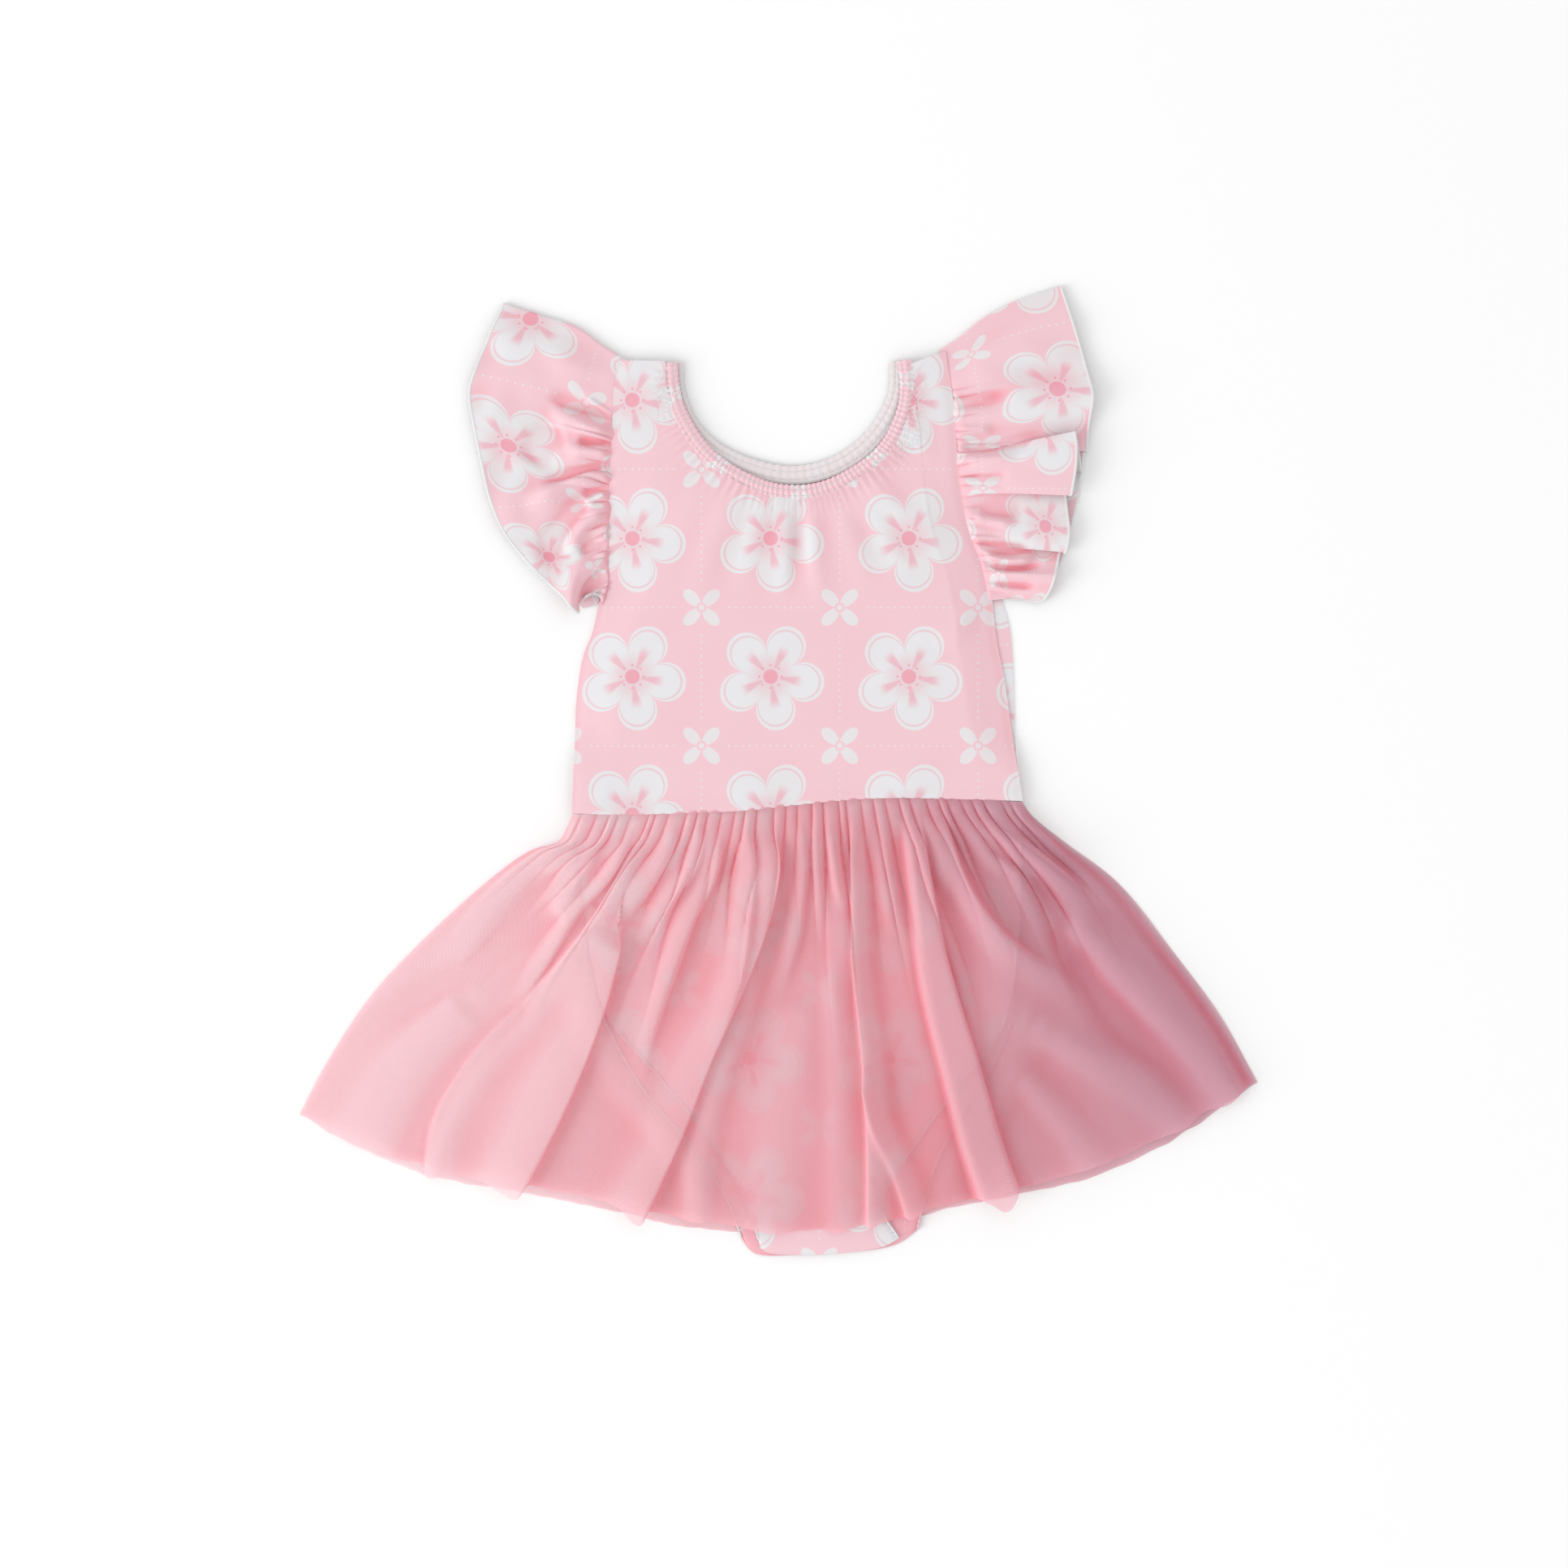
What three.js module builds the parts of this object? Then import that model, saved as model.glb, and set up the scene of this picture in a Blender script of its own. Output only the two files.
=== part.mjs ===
// A toddler's ballet leotard with flutter sleeves and a gathered net skirt, laid flat with its front up.
// Units are millimetres. +Z is up, +Y runs towards the neck, and +X is to the right as seen from above.
// The origin is the middle of the footprint, on the surface that the garment lies on.
// Left and right name the sides as seen from above.
import * as THREE from "three";

// Cloth and the gap between neighbouring pieces
const CLOTH = 1.0;
const GAP = 0.3;
const SEAM_GAP = 0.5;
const SLEEVE_SEAM_GAP = 0.8;

// Heights of each layer's underside, from the floor up
const BACK_LAYER = 0;
const BRIEF_BACK_LAYER = BACK_LAYER + CLOTH + GAP;
const BRIEF_FRONT_LAYER = BRIEF_BACK_LAYER + CLOTH + GAP;
const ON_BRIEF = BRIEF_FRONT_LAYER + CLOTH + GAP;
const ON_BACK = BACK_LAYER + CLOTH + GAP;

// The front bodice: its height over the shoulder seam and its loft between the seams
const SHOULDER_HEIGHT = 3.3;
const BODICE_LOFT = 3.5;

// Shirred casings of the neck
const FRONT_CASING = { width: 7, gathers: 56, rib: 0.7 };
const BACK_CASING = { width: 9, gathers: 36, rib: 0.5 };

// The skirt's gathers at the waist
const SKIRT_GATHERS = 36;
const GATHER_AT_SEAM = 0.7;
const GATHER_HEIGHT = 2.4;
const SKIRT_HOLD = 5;
const BACK_GATHERS = 24;
const BACK_GROOVE = 0.4;

// The brief's elastic legs, and how far its top is tucked behind the bodice
const LEG_RIB = 0.4;
const LEG_STEPS = 36;
const LEG_SHARE = 0.56;
const TUCK = 5;

const PINK_KNIT = new THREE.MeshStandardMaterial({ color: 0xf8c9d3, roughness: 0.72, metalness: 0 });
const PINK_NET = new THREE.MeshStandardMaterial({ color: 0xf2a9b8, roughness: 0.85, metalness: 0 });

// Outlines, as points that a smooth line runs through
const WAIST = [
  { x: -101.8, y: -21.2 }, { x: -79, y: -22 }, { x: -46, y: -21.2 }, { x: -12, y: -19.6 },
  { x: 14, y: -16.6 }, { x: 48, y: -13.9 }, { x: 84, y: -14.2 }, { x: 120, y: -15.2 },
];
const SIDE_LEFT = [
  { x: -101.8, y: -21.2 }, { x: -100.6, y: 10 }, { x: -99.2, y: 39 }, { x: -96, y: 57 },
  { x: -92, y: 67 }, { x: -88.6, y: 82 },
];
const ARMHOLE_LEFT = [
  { x: -88.6, y: 82 }, { x: -85.6, y: 92 }, { x: -85, y: 105 }, { x: -83.5, y: 139 },
  { x: -82, y: 168 }, { x: -80.6, y: 192 }, { x: -77.8, y: 201.6 },
];
const SIDE_RIGHT_FRONT = [
  { x: 120, y: -15.2 }, { x: 116.2, y: 9 }, { x: 111, y: 45.6 }, { x: 107.4, y: 63.6 },
  { x: 105.2, y: 84 },
];
const SIDE_RIGHT_BACK = [
  { x: 120, y: -15.2 }, { x: 117, y: 8 }, { x: 115, y: 55 }, { x: 113.6, y: 70 }, { x: 109.6, y: 84 },
];
const ARMHOLE_RIGHT = [
  { x: 105.2, y: 84 }, { x: 100.5, y: 103 }, { x: 96.2, y: 113.5 }, { x: 92.6, y: 125 },
  { x: 88.4, y: 150 }, { x: 86.2, y: 179 }, { x: 82, y: 206.2 },
];
const ARMHOLE_RIGHT_BACK = [SIDE_RIGHT_BACK.at(-1), ...ARMHOLE_RIGHT.slice(1)];
const NECK_FRONT = [
  { x: -50, y: 200.6 }, { x: -49, y: 189 }, { x: -45.6, y: 177 }, { x: -32, y: 157 },
  { x: -7.5, y: 142.6 }, { x: 9.4, y: 140 }, { x: 26, y: 143.6 }, { x: 47.6, y: 157.8 },
  { x: 57.6, y: 175 }, { x: 59.8, y: 188 }, { x: 58.6, y: 201.2 },
];
const NECK_BACK = [
  { x: -47, y: 200.6 }, { x: -46.6, y: 188 }, { x: -39.6, y: 171 }, { x: -25.8, y: 158.6 },
  { x: 4, y: 149.6 }, { x: 26.2, y: 154 }, { x: 43, y: 166.3 }, { x: 53.8, y: 184.6 }, { x: 54.8, y: 201.2 },
];
const SKIRT_LEFT = [
  { x: -101.6, y: -21.7 }, { x: -104.7, y: -29 }, { x: -108.5, y: -35 }, { x: -122, y: -39.4 },
  { x: -137.1, y: -49.5 }, { x: -168.7, y: -77.2 }, { x: -200.4, y: -110.4 }, { x: -224.2, y: -146.8 },
  { x: -236, y: -169.5 },
];
const SKIRT_RIGHT = [
  { x: 119.8, y: -15.7 }, { x: 123.5, y: -22.5 }, { x: 138.5, y: -36 }, { x: 164.5, y: -56.6 },
  { x: 191.5, y: -90.2 }, { x: 215, y: -122.2 }, { x: 233.5, y: -154 },
];
const SKIRT_RIGHT_BACK = [
  { x: 119.8, y: -15.7 }, { x: 125, y: -22.5 }, { x: 140.4, y: -35 }, { x: 167.3, y: -55.6 },
  { x: 194.2, y: -89.2 }, { x: 217.8, y: -121.2 }, { x: 236, y: -153.8 },
];
const HEM_FRONT = [
  { x: -236, y: -169.5 }, { x: -206, y: -184 }, { x: -166, y: -197.5 }, { x: -126, y: -204 },
  { x: -85, y: -212 }, { x: -45, y: -220.5 }, { x: 0, y: -226.2 }, { x: 45, y: -223.5 },
  { x: 80, y: -214 }, { x: 120, y: -205 }, { x: 157, y: -194.5 }, { x: 194, y: -177.5 },
  { x: 233.5, y: -154 },
];
const HEM_BACK = [
  { x: -236, y: -169.5 }, { x: -206, y: -186.5 }, { x: -166, y: -201.5 }, { x: -126, y: -208 },
  { x: -85, y: -216.5 }, { x: -45, y: -225 }, { x: 0, y: -228.4 }, { x: 45, y: -227 },
  { x: 80, y: -216.5 }, { x: 120, y: -208.6 }, { x: 157, y: -199.5 }, { x: 194, y: -182 },
  { x: 236, y: -153.8 },
];
// The brief: half outlines from the waist seam to the crotch. The back is cut fuller over the seat.
const BRIEF_BACK_LEFT = [
  { x: -101.4, y: -21.2 }, { x: -96.6, y: -60 }, { x: -91.8, y: -96 }, { x: -86, y: -122 },
  { x: -66, y: -158 }, { x: -42, y: -186 }, { x: -25, y: -212 }, { x: -18.4, y: -230 },
];
const BRIEF_BACK_RIGHT = [
  { x: 119.4, y: -15.4 }, { x: 119.2, y: -52 }, { x: 117.6, y: -88 }, { x: 113.4, y: -126 },
  { x: 99, y: -156 }, { x: 84, y: -180 }, { x: 73, y: -206 }, { x: 68.4, y: -226 },
];
const BRIEF_FRONT_LEFT = [
  { x: -101.4, y: -21.2 }, { x: -96.6, y: -60 }, { x: -91.8, y: -96 }, { x: -85, y: -120 },
  { x: -58, y: -152 }, { x: -32, y: -184 }, { x: -18, y: -214 }, { x: -14.6, y: -232 },
];
const BRIEF_FRONT_RIGHT = [
  { x: 119.4, y: -15.4 }, { x: 119.2, y: -52 }, { x: 117.6, y: -88 }, { x: 111, y: -124 },
  { x: 88, y: -156 }, { x: 68, y: -186 }, { x: 56, y: -212 }, { x: 60, y: -230 },
];
const CROTCH_BACK = [
  { x: -18.4, y: -230 }, { x: -12, y: -237.8 }, { x: 8, y: -238.8 }, { x: 32, y: -237.8 },
  { x: 58, y: -233.4 }, { x: 68.4, y: -226 },
];
const CROTCH_FRONT = [
  { x: -14.6, y: -232 }, { x: -10, y: -236.8 }, { x: 8, y: -238 }, { x: 32, y: -236.8 }, { x: 60, y: -230 },
];
// The sleeves. The fold runs from the shoulder to the tip, and each layer has a hem of its own. The front hem
// is waved: each row gives the share of the armhole that a place on it comes from, and where that place lies.
// bow moves the middle of the line between the two sideways, away from the armpit. Above smoothFrom, as a share
// of the armhole, the sleeve is sewn on without gathers.
const SLEEVE_LEFT = {
  armholeFront: ARMHOLE_LEFT,
  armholeBack: ARMHOLE_LEFT,
  fold: [
    { x: -77.8, y: 201.6 }, { x: -88, y: 209 }, { x: -99.2, y: 217 }, { x: -118, y: 223.6 },
    { x: -135.4, y: 229.2 },
  ],
  smoothFrom: 0.66,
  hemFront: [
    { seam: 0, x: -92, y: 82.4, z: 1.8, bow: 0 }, { seam: 0.06, x: -94, y: 80, z: 2.4, bow: 0 },
    { seam: 0.12, x: -96.2, y: 78, z: 3.4, bow: 2 }, { seam: 0.17, x: -98.6, y: 76.4, z: 6.4, bow: 6 },
    { seam: 0.19, x: -101.4, y: 79.6, z: 8.2, bow: 7 }, { seam: 0.22, x: -106, y: 85.6, z: 7.4, bow: 6 },
    { seam: 0.26, x: -112, y: 91, z: 5.4, bow: 3 }, { seam: 0.3, x: -119, y: 97.8, z: 3.8, bow: 0 },
    { seam: 0.35, x: -128, y: 107.8, z: 3.2, bow: 0 }, { seam: 0.4, x: -136, y: 119, z: 4.2, bow: 0 },
    { seam: 0.45, x: -142.3, y: 134.6, z: 4.6, bow: 0 }, { seam: 0.52, x: -146.2, y: 151.6, z: 3.2, bow: 0 },
    { seam: 0.62, x: -149.6, y: 168.7, z: 4, bow: 0 }, { seam: 0.72, x: -152.2, y: 186, z: 3.6, bow: 0 },
    { seam: 0.8, x: -148.9, y: 197.6, z: 4.2, bow: 0 }, { seam: 0.9, x: -143.2, y: 211.2, z: 3.4, bow: 0 },
    { seam: 1, x: -135.4, y: 229.2, z: 2.4, bow: 0 },
  ],
  hemBack: [
    { x: -96, y: 80 }, { x: -112, y: 90 }, { x: -126, y: 105 }, { x: -139, y: 126 },
    { x: -147, y: 156 }, { x: -150.4, y: 184 }, { x: -145.6, y: 204 }, { x: -135.4, y: 229.2 },
  ],
};
const SLEEVE_RIGHT = {
  armholeFront: ARMHOLE_RIGHT,
  armholeBack: ARMHOLE_RIGHT_BACK,
  fold: [
    { x: 82, y: 206.2 }, { x: 88.5, y: 211.6 }, { x: 100, y: 221 }, { x: 114, y: 229 }, { x: 139, y: 237.6 },
  ],
  smoothFrom: 0.8,
  hemFront: [
    { seam: 0, x: 118, y: 85, z: 1.8, bow: 0 }, { seam: 0.03, x: 129, y: 83.2, z: 2.8, bow: 0 },
    { seam: 0.07, x: 133.4, y: 88.8, z: 5.4, bow: 0 }, { seam: 0.12, x: 135.6, y: 96, z: 6, bow: 0 },
    { seam: 0.18, x: 137.4, y: 103, z: 3.4, bow: 0 }, { seam: 0.23, x: 139.4, y: 106.6, z: 3, bow: 0 },
    { seam: 0.25, x: 141, y: 109, z: 5.6, bow: 0 }, { seam: 0.31, x: 142.6, y: 118.5, z: 5.8, bow: 0 },
    { seam: 0.37, x: 141.4, y: 127, z: 4, bow: 0 }, { seam: 0.42, x: 141, y: 133, z: 3, bow: 0 },
    { seam: 0.435, x: 143.2, y: 135, z: 7, bow: 0 }, { seam: 0.47, x: 144.4, y: 140, z: 8.6, bow: 0 },
    { seam: 0.51, x: 145.8, y: 150, z: 8.8, bow: 0 }, { seam: 0.55, x: 146, y: 160, z: 8.6, bow: 0 },
    { seam: 0.575, x: 145.6, y: 166.2, z: 7.2, bow: 0 }, { seam: 0.6, x: 151, y: 168, z: 3, bow: 0 },
    { seam: 0.66, x: 152.4, y: 174, z: 3.4, bow: 0 }, { seam: 0.74, x: 153.6, y: 184, z: 5.6, bow: 0 },
    { seam: 0.82, x: 152.4, y: 192, z: 4.4, bow: 0 }, { seam: 0.88, x: 149.4, y: 204, z: 4.2, bow: 0 },
    { seam: 0.94, x: 144, y: 222, z: 3.4, bow: 0 }, { seam: 1, x: 139, y: 237.6, z: 2.4, bow: 0 },
  ],
  hemBack: [
    { x: 118, y: 86 }, { x: 130, y: 90 }, { x: 138, y: 101 }, { x: 144, y: 121 }, { x: 149, y: 148 },
    { x: 151.4, y: 180 }, { x: 148, y: 207.6 }, { x: 144, y: 222 }, { x: 139, y: 237.6 },
  ],
};

// Folds. Each crest runs through its points; width is half its foot, lean shifts the crest sideways
// (to the right of its direction of travel when positive), and drop lengthens the hem under it.
const SKIRT_FOLDS = [
  {
    height: 3.5, width: 13, lean: 0, drop: 0,
    crest: [
      { x: -108, y: -42 }, { x: -126, y: -56 }, { x: -152, y: -88 },
      { x: -182, y: -130 }, { x: -200, y: -180 },
    ],
  },
  {
    height: 5.5, width: 10, lean: 3, drop: 5,
    crest: [
      { x: -76, y: -40 }, { x: -98, y: -88 }, { x: -128, y: -126 },
      { x: -156, y: -160 }, { x: -171, y: -202 },
    ],
  },
  {
    height: 7, width: 11, lean: -5, drop: 6,
    crest: [
      { x: -62, y: -40 }, { x: -78, y: -82 }, { x: -100, y: -130 },
      { x: -118, y: -170 }, { x: -134, y: -206 },
    ],
  },
  {
    height: 7.5, width: 10, lean: -5, drop: 7,
    crest: [
      { x: -18, y: -36 }, { x: -24, y: -76 }, { x: -36, y: -120 },
      { x: -54, y: -168 }, { x: -74, y: -218 },
    ],
  },
  {
    height: 4.5, width: 8, lean: -2, drop: 1,
    crest: [
      { x: -5, y: -36 }, { x: -14, y: -90 }, { x: -34, y: -140 },
      { x: -49, y: -180 }, { x: -44, y: -222 },
    ],
  },
  {
    height: 3, width: 12, lean: 0, drop: 0,
    crest: [
      { x: 11, y: -34 }, { x: 9, y: -84 }, { x: 2, y: -130 },
      { x: -8, y: -180 }, { x: -8, y: -226 },
    ],
  },
  {
    height: 5.5, width: 9, lean: 4, drop: 0,
    crest: [
      { x: 22, y: -30 }, { x: 33, y: -68 }, { x: 37, y: -112 },
      { x: 43, y: -160 }, { x: 46, y: -224 },
    ],
  },
  {
    height: 5, width: 8, lean: 2, drop: 2,
    crest: [
      { x: 40, y: -104 }, { x: 44, y: -140 }, { x: 50, y: -176 },
      { x: 60, y: -204 }, { x: 67, y: -220 },
    ],
  },
  {
    height: 8, width: 10, lean: 3, drop: 10,
    crest: [
      { x: 66, y: -28 }, { x: 72, y: -72 }, { x: 80, y: -118 },
      { x: 94, y: -164 }, { x: 108, y: -212 },
    ],
  },
  {
    height: 6, width: 12, lean: 3, drop: 0,
    crest: [
      { x: 76, y: -28 }, { x: 92, y: -68 }, { x: 118, y: -92 },
      { x: 140, y: -114 }, { x: 156, y: -150 },
    ],
  },
  {
    height: 3, width: 11, lean: 0, drop: 0,
    crest: [
      { x: 138, y: -116 }, { x: 150, y: -134 }, { x: 166, y: -156 },
      { x: 184, y: -180 },
    ],
  },
  {
    height: 4.5, width: 9, lean: 2, drop: 0,
    crest: [
      { x: 96, y: -26 }, { x: 112, y: -44 }, { x: 138, y: -62 },
      { x: 164, y: -76 },
    ],
  },
  {
    height: 6.5, width: 15, lean: 0, drop: 0,
    crest: [
      { x: 142, y: -74 }, { x: 166, y: -90 }, { x: 188, y: -108 },
      { x: 206, y: -130 }, { x: 222, y: -158 },
    ],
  },
];
const BODICE_FOLDS = [
  { height: 1.1, width: 9, crest: [{ x: -24, y: 138 }, { x: -36, y: 104 }, { x: -44, y: 60 }] },
  { height: 1.2, width: 7, crest: [{ x: 4, y: 130 }, { x: 3, y: 100 }, { x: 0, y: 66 }] },
  { height: 1.0, width: 7, crest: [{ x: 16, y: 130 }, { x: 18, y: 100 }, { x: 22, y: 70 }] },
  { height: 1.2, width: 9, crest: [{ x: 44, y: 146 }, { x: 56, y: 128 }, { x: 78, y: 112 }] },
  { height: 1.2, width: 10, crest: [{ x: 30, y: 134 }, { x: 46, y: 104 }, { x: 58, y: 60 }] },
];
const SLEEVE_LEFT_FOLDS = [
  { height: 2.2, width: 12, lean: 0, crest: [{ x: -86, y: 197 }, { x: -104, y: 206 }, { x: -126, y: 216 }] },
  { height: 3.2, width: 6, lean: 0, crest: [{ x: -84, y: 166 }, { x: -96, y: 168 }, { x: -116, y: 174 }] },
  { height: 2.4, width: 5, lean: 0, crest: [{ x: -84, y: 156.5 }, { x: -94, y: 157 }, { x: -106, y: 156 }] },
  { height: 3.4, width: 6, lean: 1, crest: [{ x: -84, y: 145 }, { x: -105, y: 137.5 }, { x: -128, y: 128 }] },
  { height: 3.2, width: 6, lean: 0, crest: [{ x: -84, y: 128 }, { x: -98, y: 118 }, { x: -107, y: 105 }] },
];
const SLEEVE_RIGHT_FOLDS = [
  { height: 1.8, width: 11, lean: 0, crest: [{ x: 90, y: 196 }, { x: 110, y: 204 }, { x: 134, y: 218 }] },
  { height: 1.8, width: 9, lean: 0, crest: [{ x: 90, y: 178 }, { x: 116, y: 179 }, { x: 142, y: 184 }] },
  { height: 1.6, width: 4, lean: 0, crest: [{ x: 95, y: 124 }, { x: 106, y: 122.4 }, { x: 118, y: 121 }] },
  { height: 2, width: 4, lean: 0, crest: [{ x: 106, y: 96.4 }, { x: 116, y: 96 }, { x: 130, y: 95 }] },
];
const ARMHOLE_LENGTH = 125;
const SLEEVE_GATHERS = 12;
const SLEEVE_GATHER_HEIGHT = 1.4;
const SLEEVE_COLUMNS = 56;

const clamp01 = (t) => Math.min(1, Math.max(0, t));
const mix = (a, b, t) => a + (b - a) * t;
const bump = (d) => Math.exp(-d * d);
const steps = (n) => Array.from({ length: n + 1 }, (_, i) => i / n);

function ease(from, to, x) {
  const t = clamp01((x - from) / (to - from));
  return t * t * (3 - 2 * t);
}

// A line through one or more runs of points, smooth in each run, with a corner where two runs meet.
function line(...runs) {
  const points = [];
  for (const run of runs) {
    const curve = new THREE.CatmullRomCurve3(
      run.map((p) => new THREE.Vector3(p.x, p.y, 0)), false, "centripetal",
    );
    points.push(...curve.getPoints(run.length * 8).slice(points.length ? 1 : 0));
  }
  const along = [0];
  for (let i = 1; i < points.length; i++)
    along.push(along[i - 1] + points[i].distanceTo(points[i - 1]));
  const length = along[along.length - 1];
  const at = (u) => {
    const want = clamp01(u) * length;
    let i = along.findIndex((a) => a >= want);
    if (i < 1) i = 1;
    const t = (want - along[i - 1]) / (along[i] - along[i - 1]);
    return points[i - 1].clone().lerp(points[i], clamp01(t));
  };
  return { points, length, at };
}

// A line moved sideways, to the left of its direction of travel when positive.
function beside(base, away) {
  const at = (u) => {
    const step = 0.004;
    const d = base.at(u + step).sub(base.at(u - step)).normalize();
    return base.at(u).add(new THREE.Vector3(-d.y, d.x, 0).multiplyScalar(away));
  };
  return { length: base.length, at };
}

// The points of a surface between four edges: u runs across and v from the bottom edge to the top. The higher
// hold is, the nearer to the side edges their bends stay.
function patch(bottom, top, left, right, hold = 1) {
  return (u, v) => {
    const straight = (across) => bottom.at(across).lerp(top.at(across), v);
    const p = straight(u);
    p.addScaledVector(left.at(v).sub(straight(0)), (1 - u) ** hold);
    p.addScaledVector(right.at(v).sub(straight(1)), u ** hold);
    return p;
  };
}

// Where a point lies beside a fold: how far along it, and how far to the right of its crest.
function besideFold(fold, p) {
  fold.line ??= line(fold.crest).points;
  const points = fold.line;
  let best = { distance: Infinity, side: 0, along: 0, direction: null };
  for (let i = 1; i < points.length; i++) {
    const d = points[i].clone().sub(points[i - 1]);
    const r = p.clone().sub(points[i - 1]);
    const t = clamp01((r.x * d.x + r.y * d.y) / (d.x * d.x + d.y * d.y));
    const across = Math.hypot(r.x - t * d.x, r.y - t * d.y);
    if (across < best.distance) {
      const direction = d.clone().normalize();
      const side = Math.sign(r.x * direction.y - r.y * direction.x) * across;
      best = { distance: across, side, along: (i - 1 + t) / (points.length - 1), direction };
    }
  }
  return best;
}

// Raises the folds of a table at a point, and leans their crests. fade(along) is a fold's share of its height.
function raiseFolds(folds, p, fade) {
  const at = new THREE.Vector3(p.x, p.y, 0);
  for (const fold of folds) {
    const near = besideFold(fold, at);
    const share = bump(near.distance / fold.width) * fade(near.along);
    p.z += fold.height * share;
    if (fold.lean) {
      p.x += near.direction.y * fold.lean * share;
      p.y -= near.direction.x * fold.lean * share;
    }
    if (fold.drop) {
      const hem = bump(near.distance / (0.6 * fold.width)) * ease(0.8, 1, near.along);
      p.x += near.direction.x * fold.drop * hem;
      p.y += near.direction.y * fold.drop * hem;
    }
  }
  return p;
}

// A closed wall between two grids of points of the same size.
function wall(lower, upper) {
  const rows = lower.length;
  const columns = lower[0].length;
  const positions = [];
  for (const grid of [lower, upper])
    for (const row of grid)
      for (const p of row) positions.push(p.x, p.y, p.z);
  const index = [];
  const quad = (a, b, c, d) => index.push(a, b, c, a, c, d);
  const id = (layer, r, c) => (layer * rows + r) * columns + c;
  for (let r = 0; r < rows - 1; r++)
    for (let c = 0; c < columns - 1; c++) {
      quad(id(1, r, c), id(1, r, c + 1), id(1, r + 1, c + 1), id(1, r + 1, c));
      quad(id(0, r, c), id(0, r + 1, c), id(0, r + 1, c + 1), id(0, r, c + 1));
    }
  for (let c = 0; c < columns - 1; c++) {
    quad(id(0, 0, c), id(0, 0, c + 1), id(1, 0, c + 1), id(1, 0, c));
    quad(id(0, rows - 1, c + 1), id(0, rows - 1, c), id(1, rows - 1, c), id(1, rows - 1, c + 1));
  }
  for (let r = 0; r < rows - 1; r++) {
    quad(id(0, r + 1, 0), id(0, r, 0), id(1, r, 0), id(1, r + 1, 0));
    quad(id(0, r, columns - 1), id(0, r + 1, columns - 1), id(1, r + 1, columns - 1), id(1, r, columns - 1));
  }
  const geometry = new THREE.BufferGeometry();
  geometry.setAttribute("position", new THREE.Float32BufferAttribute(positions, 3));
  geometry.setIndex(index);
  return geometry;
}

// A wall of even thickness on both sides of a grid of mid points.
function wallOnBothSides(middle) {
  const rows = middle.length;
  const columns = middle[0].length;
  const offset = (sign) =>
    middle.map((row, r) =>
      row.map((p, c) => {
        const across = row[Math.min(c + 1, columns - 1)].clone().sub(row[Math.max(c - 1, 0)]);
        const up = middle[Math.min(r + 1, rows - 1)][c].clone().sub(middle[Math.max(r - 1, 0)][c]);
        const normal = across.cross(up).normalize();
        return p.clone().addScaledVector(normal, (sign * CLOTH) / 2);
      }),
    );
  return wall(offset(-1), offset(1));
}

// A flat panel from an outline that runs anticlockwise.
function panel(outline, underside) {
  const shape = new THREE.Shape(outline.map((p) => new THREE.Vector2(p.x, p.y)));
  const geometry = new THREE.ExtrudeGeometry(shape, { depth: CLOTH, bevelEnabled: false });
  return geometry.translate(0, 0, underside);
}

const sample = (curve, n, from = 0, to = 1) => steps(n).map((t) => curve.at(mix(from, to, t)));
const lift = (p, z) => new THREE.Vector3(p.x, p.y, z);

const waist = line(WAIST);
const neckFront = line(NECK_FRONT);
const neckBack = line(NECK_BACK);

// The height of the front layer's underside at its seams: over the brief at the waist, on the back beside the
// body, and over the neck casing at the shoulder.
function frontSeamHeight(y) {
  const waistPart = mix(ON_BRIEF, ON_BACK, ease(-4, 22, y));
  return mix(waistPart, SHOULDER_HEIGHT, ease(100, 180, y));
}

function bodiceFront() {
  const edge = beside(neckFront, -FRONT_CASING.width - SEAM_GAP);
  const shoulderLeft = { x: edge.at(0).x, y: 201.2 };
  const shoulderRight = { x: edge.at(1).x, y: 202.4 };
  const neck = sample(edge, 20, 0.01, 0.99);
  const top = line([ARMHOLE_LEFT.at(-1), shoulderLeft], neck, [shoulderRight, ARMHOLE_RIGHT.at(-1)]);
  const at = patch(waist, top, line(SIDE_LEFT, ARMHOLE_LEFT), line(SIDE_RIGHT_FRONT, ARMHOLE_RIGHT));
  const fade = (along) => ease(0, 0.1, along) * (1 - ease(0.7, 1, along));
  const grid = steps(12).map((v) =>
    steps(40).map((u) => {
      const p = at(u, v);
      const inside = ease(0, 0.1, u) * ease(0, 0.1, 1 - u);
      const loft = mix(ON_BRIEF, BODICE_LOFT, ease(0.04, 0.16, v));
      p.z = mix(frontSeamHeight(p.y), loft, inside);
      return raiseFolds(BODICE_FOLDS, p, (along) => fade(along) * inside);
    }),
  );
  return wall(grid, grid.map((row) => row.map((p) => lift(p, p.z + CLOTH))));
}

function bodiceBack() {
  const outline = [
    ...sample(waist, 12).slice(0, -1),
    ...sample(line(SIDE_RIGHT_BACK), 8).slice(0, -1),
    ...sample(line(ARMHOLE_RIGHT_BACK), 10),
    ...sample(neckBack, 22).reverse(),
    ...sample(line(ARMHOLE_LEFT), 10).reverse().slice(0, -1),
    ...sample(line(SIDE_LEFT), 8).reverse().slice(0, -1),
  ];
  return panel(outline, BACK_LAYER);
}

// A strip along the neck, with a rib for each gather raised in its outer points.
function casing(neck, { width, gathers, rib }, underside) {
  const outer = beside(neck, -width);
  const lower = [1, 0.5, 0].map((across) =>
    steps(gathers * 2).map((u) => lift(neck.at(u).lerp(outer.at(u), across), underside)),
  );
  const upper = lower.map((row) => row.map((p, c) => lift(p, p.z + CLOTH + (c % 2 ? rib : 0))));
  return wall(lower, upper);
}

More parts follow.
